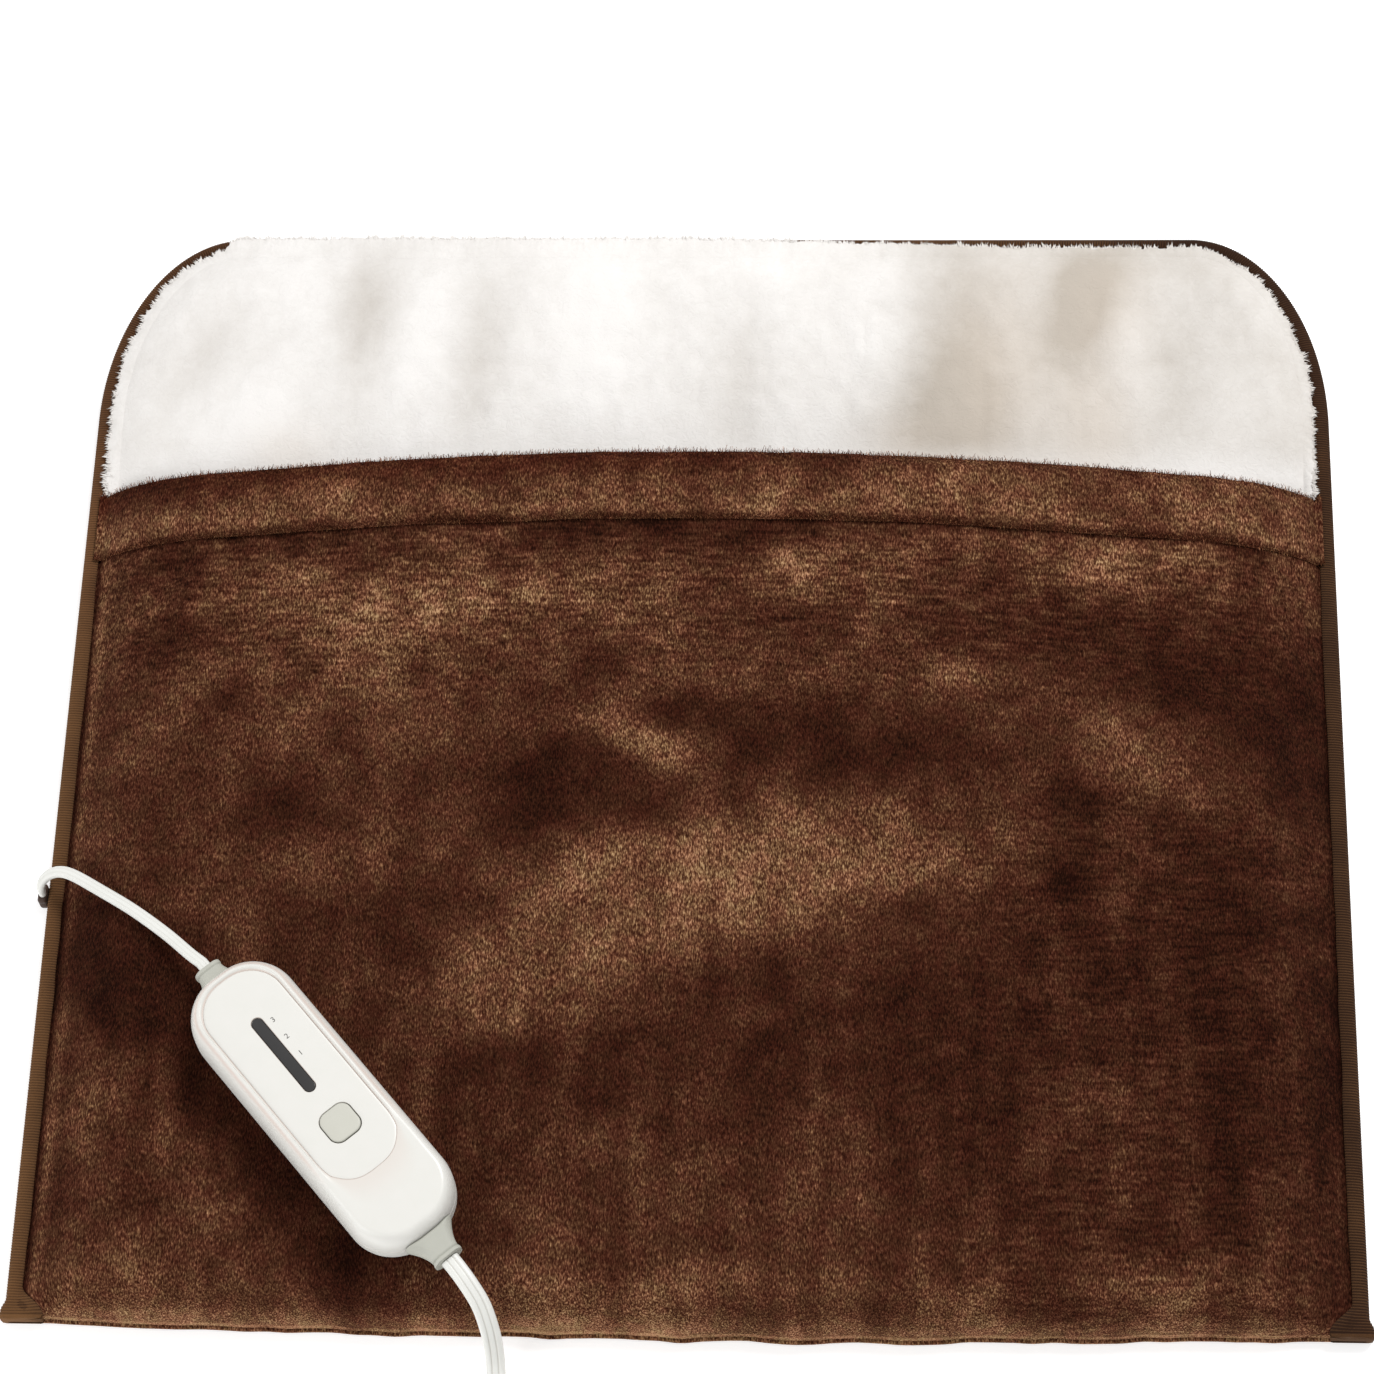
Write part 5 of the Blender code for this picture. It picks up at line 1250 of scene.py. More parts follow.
NAP_DARK_AND_SHADOWS = ((-8, -5, 2.2, 2, -20, .4), (25.5, 1, 2.5, 4, 0, .8), (-23.5, 7.5, 1.5, 1.5, 0, .6),
            (-23.5, 4, .8, 1.5, 0, .5), (0, 8.5, 5, .8, 0, .8), (-14, 8.3, 6, .8, 0, .3),
            (-3.6, -3.2, 3.6, 1.6, -15, .85), (5.5, -.8, 3.6, 2.2, 0, .85), (22.5, 2.5, 3, 1.8, 0, .9),
            (17.5, 4.5, 4, 1.8, 0, .7), (24, 5.5, 1.5, 1, 0, .4), (14, 4, 2, 1.5, 0, .5),
            (-25, -10.5, 2.2, 2.5, 0, 1.0), (-22.5, -13, 2, 1.5, 0, 1.0), (-19, -18, 3.5, 1.6, -49, .8),
            (-15, -22.5, 4, 1.6, -49, .8), (22.5, -12, 2, 6, 0, .35), (27, -12, 1.2, 6, 0, .4),
            (16, -5, 1, 4, 0, .4), (5, -14, 12, 4, 0, .25), (-18, -4, 3, 1.5, 0, .3), (-8, -15.5, 2, 1, 0, .4),
            (-20, 1.5, 1.5, 1, 0, .4), (-.5, .5, 1.5, 1, 0, .4))
# Dents and soft folds of the front, the last value in millimetres
FRONT_RELIEF = ((-23.5, 7.5, 1.2, .9, 0, -2.6), (-23.5, 4, .9, .8, 0, -2.0), (-25, -11.5, 3.2, .7, 40, 2.0),
                (-24, -9.3, 2.6, .6, 30, 1.5), (-22.8, 5.6, 3, 1.1, 80, 1.4), (23, 2.5, 5, 1.3, -20, -1.8),
                (20.5, .5, 6, 1.2, -30, 1.6), (24.3, -4, 7, 1.0, 80, 1.0), (-4, -3, 6, 1.6, -20, -1.4),
                (2, -6.5, 9, 2.6, 10, 1.6), (5, -.5, 5, 1.4, 0, -1.2), (15, 5, 6, 1.4, -10, -1.2),
                (-18.5, 2.5, 4, 1.2, 30, 1.2), (9, -18, 12, 2.2, 8, .9), (18, -13, 7, 2, -50, -1.0))
# Valleys and swells of the fleece, the last value in millimetres, its patches of painted shade, and its patches of
# painted warm reflected light
SHERPA_WAVES = ((-16, 21.5, 4, 1.3, 88, -2.2), (-10.5, 18.5, 4.5, 1.1, 82, -1.8), (16.5, 22, 3.4, 1.3, 84, -2.0),
                (-20.5, 16, 3.4, 1.2, 70, 1.4), (-13.2, 20, 4, 1.4, 86, 1.3), (-5, 21, 5, 2.4, 90, 1.0),
                (1.5, 17.5, 5, 1.2, 86, -1.1), (7.5, 20.5, 5, 2.2, 88, 1.2), (12.5, 16.5, 4, 1.2, 100, -1.3),
                (21, 17.5, 3.4, 1.2, 104, -1.3), (-23, 19.5, 2.4, 1, 60, -1.2), (19, 20.5, 3.4, 1, 95, 1.0))
SHERPA_SHADE = ((12, 21, 5, 3.2, 70, .6), (17.6, 22.5, 3.6, 1.7, 68, 2.6), (10.5, 16, 4, 2.6, 80, 2.6),
                (20, 24, 5, 1.6, 0, .6), (22, 16, 4, 3, 0, -.7), (-16, 21.5, 3, 1.2, 88, .7),
                (-11, 22, 3, 1.2, 80, .5))
SHERPA_WARM_REFLECTION = ((13, 18, 2.5, 6, 0, .45), (18, 22, 2, 3, 0, .35), (17.5, 15.5, 2, 3.5, 0, .4), (9, 14.5, 2, 2, 0, .3),
                 (-19, 14, 2, 1.5, 0, .25))


def kept_flat(x: Array, y: Array) -> Array:
    """0 under the controller and its leads, 1 clear of them and of the sewn edges."""
    turn = math.radians(BODY_PLACE.degrees)
    dx, dy = x - BODY_PLACE.x, y - BODY_PLACE.y
    s = dx * math.cos(turn) + dy * math.sin(turn)
    t = dy * math.cos(turn) - dx * math.sin(turn)
    # Distances from a box round the controller, and from one round each lead
    body = np.hypot(np.maximum(np.abs(s) - .075, 0), np.maximum(np.abs(t) - .025, 0))
    lead = np.hypot(np.maximum(np.abs(x + .245) - .035, 0), np.maximum(np.abs(y + .088) - .022, 0))
    mains = np.hypot(np.maximum(np.abs(x + .085) - .012, 0), np.maximum(y + .235, 0))
    clear = np.minimum(np.minimum(body, np.where(s < 0, lead, 1.0)), mains)
    edge = np.minimum(LAYERS.half_x - np.abs(x), y + LAYERS.half_y)
    return smoothstep(clear, 0.004, 0.030) * smoothstep(edge, 0.006, 0.028)


def front_relief(x: Array, y: Array) -> Array:
    """Height that dents, folds and the pile's unevenness add to the front, metres."""
    folds = 0.001 * patches(x, y, FRONT_RELIEF)
    uneven = 0.0011 * soft_noise(x, y, 0.045, 11) + 0.0006 * soft_noise(x, y, 0.017, 12)
    pile = 0.00022 * soft_noise(x, 0.6 * y, 0.0052, 13)
    return (folds + uneven) * kept_flat(x, y) + pile


def nap_and_shade_value(x: Array, y: Array) -> Array:
    """How the pile lies, with painted light on it: below 0 darker, away from the light or in painted shadow; above 0
    lighter, towards it or under a painted highlight.
    """
    # It is darker over the lower half, towards the toe, and most on the right
    away = smoothstep(-y, -0.06, 0.05) * (0.10 + 0.28 * smoothstep(x, 0.02, 0.16))
    spots = patches(x, y, NAP_LIGHT_AND_HIGHLIGHTS) - patches(x, y, NAP_DARK_AND_SHADOWS)
    broken = 0.78 * np.tanh(2.1 * (spots + 0.30 * soft_noise(x, y, 0.012, 21) * (0.4 + np.abs(spots))))
    # Towards the toe the pile is brushed in long strokes; along the toe's roll a painted highlight lightens it
    low = smoothstep(-y, 0.04, 0.12)
    strokes = low * (0.24 * soft_noise(x, 0.10 * y, 0.009, 24) + 0.15 * soft_noise(x, 0.14 * y, 0.0045, 25) - 0.08)
    roll = np.exp(-((y + LAYERS.half_y - 0.013) / 0.012) ** 2) * (0.26 + 0.16 * soft_noise(x, y, 0.02, 26))
    clouds = (1 - 0.55 * low) * (0.28 * soft_noise(x, y, 0.022, 22) + 0.16 * soft_noise(x, y, 0.009, 23))
    return broken - away + clouds + strokes + roll


def fibre_row(roots: Array, out: Array, length: Pair, width: float, spread: float, seed: int,
              droop: float = 0.25) -> tuple[Array, Array, Array, Array]:
    """Fibres from roots along their outward directions, scattered in length and direction.

    Args:
        roots: (n, 3) points.
        out: the direction that they point.
        length: least and greatest length, metres.
        width: radius at the root, metres.
        spread: how far directions scatter, as a share of the length.
        seed: which random scatter.
        droop: how far the tip sinks, as a share of the length.

    Returns:
        Roots, bends, tips and widths.
    """
    rng = np.random.default_rng(seed)
    count = len(roots)
    reach = rng.uniform(*length, count)[:, None]
    aim = unit(out) + spread * rng.normal(size=(count, 3))
    bends = roots + 0.55 * reach * aim
    tips = roots + reach * unit(aim + 0.5 * spread * rng.normal(size=(count, 3))) - [0, 0, 1] * (droop * reach)
    return roots, bends, tips, width * rng.uniform(0.7, 1.2, count)


@dataclass
class PouchFront:
    """The front half of the pouch: its flannel cover, its lining, and the turned hem with its facing.

    Attributes:
        step: the cover's mesh step.
        cuff_back: where the hem's lower seam runs.
        facing_half: half the facing tape's length.
        hem_rows: the hem's fringe: place round its section, direction, length, seed and tone of
        each row of fibres; the tones are raised, as painted light, where thin fibres would look dark.
    """

    step: float = 0.0022
    cuff_back: float = 0.0910
    facing_half: float = 0.190
    hem_rows: tuple = ((0.55, (0, 0.75, 0.65), (0.0014, 0.0036), 61, 0.7),
                       (0.60, (0, 1.0, 0.1), (0.0014, 0.0036), 62, 0.5),
                       (0.52, (0, 0.6, 0.8), (0.0010, 0.0028), 66, 0.2),
                       (0.47, (0, 0.45, 0.9), (0.0008, 0.0018), 63, 0.0),
                       (0.09, (0, -0.9, 0.25), (0.0010, 0.0024), 64, 0.25),
                       (0.11, (0, -0.8, 0.45), (0.0010, 0.0022), 67, 0.1),
                       (0.14, (0, -0.5, 0.7), (0.0008, 0.0018), 65, 0.3))

    def cover(self) -> Form:
        """The flannel, whose toe edge turns down to meet the base."""
        x, y = LAYERS.front_grid(self.step)
        pressed, under, over = LAYERS.front_cover
        wall = 1 - LAYERS.toe_swell(y + LAYERS.half_y)
        bow = LAYERS.bulge(x, y)
        height = LAYERS.front_height(LAYERS.pressed_top, over, x, y) + np.maximum(front_relief(x, y), -0.0024)
        faces = [points_at(x, y + LAYERS.toe_wall * wall + bow, LAYERS.front_height(pressed, under, x, y)),
                 points_at(x, y + bow, height)]
        # Four more rows turn the toe edge down over the base's
        share = np.linspace(1.0, 0.25, 4)[:, None]
        lip = LAYERS.cover[0] + LAYERS.pressed_thick + GAP
        for k, face in enumerate(faces):
            turned = np.repeat(face[:1], len(share), 0)
            turned[..., 2] = blend(turned[..., 2], lip, share)
            faces[k] = np.concatenate([turned, face])
        x, y = (np.concatenate([np.repeat(value[:1], len(share), 0), value]) for value in (x, y))
        edge = LAYERS.half_x - np.abs(x)
        # Painted shade darkens the pile along the hem's lower seam and the binding's inner edge, half as much on the
        # right
        seam = (np.exp(-((self.cuff_back - y) / 0.0022) ** 2)
                + (1 - 0.5 * (x > 0)) * np.exp(-((edge - 0.0078) / 0.0013) ** 2))
        # Painted highlights lighten the pile beside the left binding and along the toe fold
        painted_highlight = (0.45 * (x < 0) * np.exp(-((edge - 0.0125) / 0.0028) ** 2)
                  + 0.8 * np.exp(-((y + LAYERS.half_y) / 0.0035) ** 2))
        nap = nap_and_shade_value(x, y) - 0.7 * seam + painted_highlight
        # Painted light lightens the rows turned down at the toe edge, which face away from the key light
        nap[:len(share)] += 0.6
        rows = smoothstep(y, -0.02, 0.05) + 0.8 * smoothstep(x, 0.08, 0.16) * smoothstep(-y, 0.0, 0.05)
        return Form.slab(*faces, {"nap": nap, "rows": np.clip(rows, 0, 1), "red": 0.0})

    def lining(self) -> Form:
        """The fleece under the cover, curled on its inner side."""
        x, y = LAYERS.front_grid(3 * self.step)
        pressed, under, over = LAYERS.front_lining
        thick = LAYERS.pressed_thick
        wall = 1 - LAYERS.toe_swell(y + LAYERS.half_y)
        share = LAYERS.side_swell(LAYERS.half_x - np.abs(x))
        # The curls stop short of the facing
        curl = (share * (0.0009 * soft_noise(x, y, 0.009, 31) - 0.0006)
                * smoothstep(self.cuff_back - y, -0.002, 0.010))
        toe = y + LAYERS.bulge(x, y) + (LAYERS.toe_wall + GAP) * wall
        return Form.slab(points_at(x, toe + thick * wall, LAYERS.front_height(pressed, under, x, y) + curl),
                         points_at(x, toe, LAYERS.front_height(pressed + thick, over, x, y)),
                         {"shade": 0.35 + 0.4 * soft_noise(x, y, 0.02, 32), "warmth": 0.2})

    def cuff_columns(self, step: float) -> tuple[Array, Array]:
        """The hem's x stations, and how far the layers have opened at each."""
        limit = LAYERS.half_x - 0.0052
        x = np.linspace(-limit, limit, round(2 * limit / step) + 1)
        return x, LAYERS.side_swell(LAYERS.half_x - np.abs(x))

    def cuff_section(self, x: Array, swell: Array) -> Array:
        """(n, m, 3) rings of the hem: a flat roll over the cover, round the rim and under it."""
        def crest(y: float) -> Array:
            """The pressed or full cover's top at the hem's stations, without its relief."""
            return blend(LAYERS.pressed_top, LAYERS.front_cover[2], swell) + LAYERS.arch(x, np.full_like(x, y))

        def top(y: float) -> Array:
            """The cover's top with its relief."""
            return crest(y) + np.clip(front_relief(x, np.full_like(x, y)), 0, None)

        inner = (blend(LAYERS.front_lining[0], LAYERS.front_lining[1], swell)
                 + LAYERS.arch(x, np.full_like(x, LAYERS.rim_y)))
        back, end, edge = self.cuff_back, LAYERS.opening_y, LAYERS.rim_y + GAP
        full = 0.35 + 0.65 * swell
        rim = crest(edge)
        mid = (rim + inner) / 2
        section = [(back + 0.0004, top(back) + 0.0002), (back - 0.0008, top(back) + 0.0009 * full),
                   (back + 0.0002, top(back) + 0.0021 * full), (back + 0.0028, top(back + 0.003) + 0.0030 * full),
                   (back + 0.008, top(back + 0.008) + 0.0035 * full),
                   (back + 0.0155, top(back + 0.0155) + 0.0038 * full),
                   (back + 0.022, top(back + 0.022) + 0.0036 * full),
                   (end - 0.0055, top(end - 0.0055) + 0.0033 * full),
                   (end - 0.0016, rim + 0.0024 * full), (end + 0.0006, rim + 0.0004 * full),
                   (end + 0.0013 * full, mid), (end - 0.0001, inner + 0.0008), (end - 0.0012, inner - 0.0002),
                   (edge + 0.0002, inner + 0.0004), (edge, mid), (edge, rim + 0.0004),
                   (back + 0.0155, top(back + 0.0155) + 0.0004)]
        # At its ends the hem rides up over the binding
        over = 0.0104 * smoothstep(np.abs(x), LAYERS.half_x - 0.0092, LAYERS.half_x - 0.0076)
        rings = np.array([points_at(x, y, np.maximum(z, over)) for y, z in section])
        return np.moveaxis(spline(rings, 4 * len(section), closed=True), 0, 1)

    def cuff(self) -> Form:
        """The hem as one roll, its surface uneven as pile is."""
        x, swell = self.cuff_columns(0.0016)
        rings = self.cuff_section(x, swell)
        x, y, z = np.moveaxis(rings, -1, 0)
        lump = 0.0005 * soft_noise(x, y, 0.011, 41) + 0.00025 * soft_noise(x, y + z, 0.0045, 42)
        rings[..., 2] += lump * (0.3 + 0.7 * swell[:, None])
        across = (y - self.cuff_back) / (LAYERS.opening_y - self.cuff_back)
        front = smoothstep(across, 0.35, 1.0)
        # Painted shade darkens the roll along its lower seam; the roll is also darker towards the mouth, less so on
        # the right
        nap = (0.36 - (0.7 - 0.45 * smoothstep(x, 0.0, 0.10)) * front - 0.5 * np.exp(-(across / 0.05) ** 2)
               + 0.30 * soft_noise(x, y, 0.010, 43) + 0.22 * soft_noise(x, y, 0.028, 44))
        return Form.loft(rings, values={"nap": nap, "rows": 0.5, "red": 0.5 * front * smoothstep(-x, -0.10, 0.05)})

    def fringe(self) -> Form:
        """Pile fibres that stand out along the hem's rim and over its lower seam."""
        x, swell = self.cuff_columns(0.00040)
        rng = np.random.default_rng(51)
        rings = self.cuff_section(x, swell)
        count = rings.shape[1]
        parts, tones = [], []
        for place, aim, length, seed, tone in self.hem_rows:
            at = np.clip((place + rng.uniform(-0.025, 0.025, len(x))) * count, 0, count - 1).astype(int)
            out = np.array(aim, float)
            roots = rings[np.arange(len(x)), at] - 0.0003 * unit(out)
            parts.append(fibre_row(roots, out, length, 0.00015, 0.38, seed))
            tones.append(tone + 0.45 * rng.normal(size=len(x)))
        roots, bends, tips, widths = (np.concatenate(group) for group in zip(*parts))
        return Form.fibres(roots, bends, tips, widths, {"nap": np.concatenate(tones), "rows": 0.0, "red": 0.6})

    def facing(self) -> Form:
        """The tape that stiffens the mouth, inside the lining."""
        x, y = np.meshgrid(np.linspace(-self.facing_half, self.facing_half, 160),
                           np.linspace(self.cuff_back, LAYERS.rim_y, 12))
        weave = 0.00008 * np.sin(x / 0.0009) * np.cos(y / 0.0009)
        under = LAYERS.front_lining[1] + LAYERS.arch(x, y) - 3 * GAP + weave
        return Form.slab(points_at(x, y, under - 0.0022), points_at(x, y, under),
                         {"rib": 0.6 + 4000 * weave, "red": 0.0, "dark": 0.0})

    def build(self) -> None:
        cover = make_piece("front_cover_looks", self.cover(), Finish.FLANNEL, "flannel", ("front_cover",), 60.0)
        lining = make_piece("front_lining_looks", self.lining(), Finish.SHERPA, "sherpa", ("front_lining",), 60.0)
        make_piece("cuff_band_looks", self.cuff(), Finish.FLANNEL, "flannel", ("cuff_band",), 80.0)
        make_piece("cuff_fringe_looks", self.fringe(), Finish.FLANNEL, "flannel")
        make_piece("cuff_facing_looks", self.facing(), Finish.YARN, "binding", ("cuff_facing",))


@dataclass
class PouchBase:
    """The base: its cover, and the fleece that the feet lie on, combed out over its edge.

    Attributes:
        columns: the fleece's mesh columns.
        cover_out: how far the cover reaches past the toe edge, where its fold shows.
        locks: fibres in a lock, their width, their spread and the share of places left bare,
            for the broad locks under and the fine fibres over.
    """

    columns: int = 250
    cover_out: float = 0.0012
    locks: tuple = ((2, 0.00062, 0.34, 0.45), (3, 0.00024, 0.45, 0.3))

    def lining_height(self, x: Array, y: Array) -> tuple[Array, Array, Array]:
        """Heights of the fleece's underside and top, and its shade."""
        pressed, under, over = LAYERS.lining
        mouth, start = LAYERS.opening_y, LAYERS.swell_start
        opened = smoothstep(y, mouth + 0.004, mouth + 0.030)
        plain = LAYERS.base_swell(x, y)
        quick = LAYERS.side_swell(start + 1.9 * (LAYERS.edge_inset(x, y) - start + 0.001))
        share = blend(plain, np.maximum(plain, quick), opened)
        rim = blend(pressed + LAYERS.pressed_thick, LAYERS.pressed_top, smoothstep(y, mouth, mouth + 0.003))
        waves = 0.001 * patches(x, y, SHERPA_WAVES)
        curls = (0.0006 * np.abs(soft_noise(x, 0.5 * y, 0.0075, 71)) + 0.0004 * soft_noise(x, 0.6 * y, 0.0046, 72)
                 + 0.0012 * soft_noise(x, 0.6 * y, 0.028, 73) - 0.0003)
        top = blend(rim, over, share) + share * opened * (waves + curls)
        # Painted shade: darker on the fleece's right side, in its shaded patches, its valleys and between its curls
        side = 0.50 * smoothstep(x, 0.04, 0.11) + 0.25 * patches(x, y, SHERPA_SHADE)
        shade = opened * (-0.20 * patches(x, y, SHERPA_WAVES) - 110 * (curls - 0.0002) + side) + 0.06
        return blend(pressed, under, share), top, shade

    def lining(self) -> Form:
        """The fleece of the base."""
        x, y = LAYERS.pad_grid(LAYERS.wall + GAP, LAYERS.fleece_toe, self.columns, 70, 120)
        low, top, shade = self.lining_height(x, y)
        warmth = np.clip(patches(x, y, SHERPA_WARM_REFLECTION), 0, 1)
        y = y + LAYERS.bulge(x, y)
        return Form.slab(points_at(x, y, low), points_at(x, y, top), {"shade": shade, "warmth": warmth})

    def roll_edge(self, path: Array) -> Array:
        """How far inside the outline the fleece's outer edge lies, least along the top's left."""
        x, y = path.T
        top = smoothstep(y, 0.2585, 0.2600)
        left = smoothstep(-x, -0.16, 0.04)
        uneven = 0.0008 * soft_noise(x + y, y, 0.0060, 84)
        right = smoothstep(x, 0.0, 0.2)
        return 0.0066 + 0.0009 * right - 0.0012 * top - 0.0046 * top * left + uneven * (1 - 0.6 * top * left)

    def roll(self) -> Form:
        """The fleece's outermost pile, combed out over the binding as a thin roll.

        It runs from the fleece's own surface, sunk a little in it, to its ragged outer edge,
        and its middle stands up by a sine.
        """
        path = LAYERS.path(0.0005)
        path = path[path[:, 1] > LAYERS.opening_y + 0.0005]
        share = np.linspace(0, 1, 9)[:, None]
        edge = self.roll_edge(path) + 0.0006 * soft_noise(path[:, 0] + path[:, 1], path[:, 1], 0.0011, 83)
        x, y = np.moveaxis(path + LAYERS.inward(path) * blend(0.0135, edge, share)[..., None], -1, 0)
        surface, shade = self.lining_height(x, y)[1:]
        pile = 0.0003 * soft_noise(x, y, 0.0020, 85) * share
        top = blend(surface[:1] - 0.0005, 0.0101, share) + 0.0005 * np.sin(share * math.pi) + pile
        bottom = np.maximum(top - 0.0008, 0.0095 - 0.0020 * (1 - share))
        warmth = np.clip(patches(x, y, SHERPA_WARM_REFLECTION), 0, 1)
        return Form.slab(points_at(x, y, bottom), points_at(x, y, top), {"shade": shade, "warmth": warmth})

    def tufts(self) -> Form:
        """The combed-out roll of fleece, and the short locks along its edge."""
        rng = np.random.default_rng(81)
        path = LAYERS.path(0.0008)
        path = path[path[:, 1] > LAYERS.opening_y + 0.001]
        parts = []
        for fibres, width, spread, bare in self.locks:
            locks = path[rng.uniform(size=len(path)) > bare]
            inward = LAYERS.inward(locks)
            deep = self.roll_edge(locks) + 0.0010
            count = len(locks) * fibres
            clump = 0.5 + 0.5 * soft_noise(locks[:, 0] + locks[:, 1], locks[:, 1], 0.0026, 82)
            reach = np.repeat(blend(0.0010, 0.0038, clump), fibres) * rng.uniform(0.7, 1.1, count)
            roots = np.repeat(locks + inward * deep[:, None], fibres, 0) + 0.0004 * rng.normal(size=(count, 2))
            out = unit(np.repeat(-inward, fibres, 0) + spread * rng.normal(size=(count, 2)))
            root = points_at(*roots.T, 0.0099)
            tip = points_at(*(roots + out * reach[:, None]).T, 0.0097 + 0.0010 * rng.uniform(size=count))
            bend = 0.5 * root + 0.5 * tip + [0, 0, 0.0003]
            parts.append((root, bend, tip, width * rng.uniform(0.7, 1.2, count)))
        root, bend, tip, width = (np.concatenate(group) for group in zip(*parts))
        # Painted shade and painted warm reflection on the right, as on the fleece
        right = smoothstep(root[:, 0], 0.05, 0.15)
        shade = np.clip(0.08 + 0.08 * rng.normal(size=len(root)), -0.3, 0.5) + 0.24 * right
        fibres = Form.fibres(root, bend, tip, width, {"shade": shade, "warmth": 0.1 * right})
        return Form.joined([self.roll(), fibres])

    def cover(self) -> Form:
        """The base's flannel: flat on the floor, lifted at its rim, its fold showing at the toe."""
        x, y = LAYERS.pad_grid(LAYERS.wall + GAP, -self.cover_out, 150, 90, 40)
        pressed, under, over = LAYERS.cover
        inset = np.minimum(LAYERS.edge_inset(x, y), y + LAYERS.half_y + self.cover_out)
        share = smoothstep(inset, LAYERS.swell_start, LAYERS.swell_start + 0.012)
        quilt = 0.0004 * smoothstep(soft_noise(x, y, 0.03, 91), -0.5, 1.0) * share
        # Painted light lightens the cover's outer 3 mm, the fold at its rim, which lies in shade
        nap = 0.2 * soft_noise(x, y, 0.02, 92) + 0.1 + 0.8 * (inset < 0.003)
        y = y + LAYERS.bulge(x, y)
        return Form.slab(points_at(x, y, blend(pressed, under, share) + quilt),
                         points_at(x, y, blend(pressed + LAYERS.pressed_thick, over, share)),
                         {"nap": nap, "rows": 0.6, "red": 0.0})

    def build(self) -> None:
        lining = make_piece("base_lining_looks", self.lining(), Finish.SHERPA, "sherpa", ("base_lining",), 80.0)
        tufts = make_piece("fleece_edge_looks", self.tufts(), Finish.SHERPA, "sherpa")
        cover = make_piece("base_cover_looks", self.cover(), Finish.FLANNEL, "flannel", ("base_cover",), 80.0)


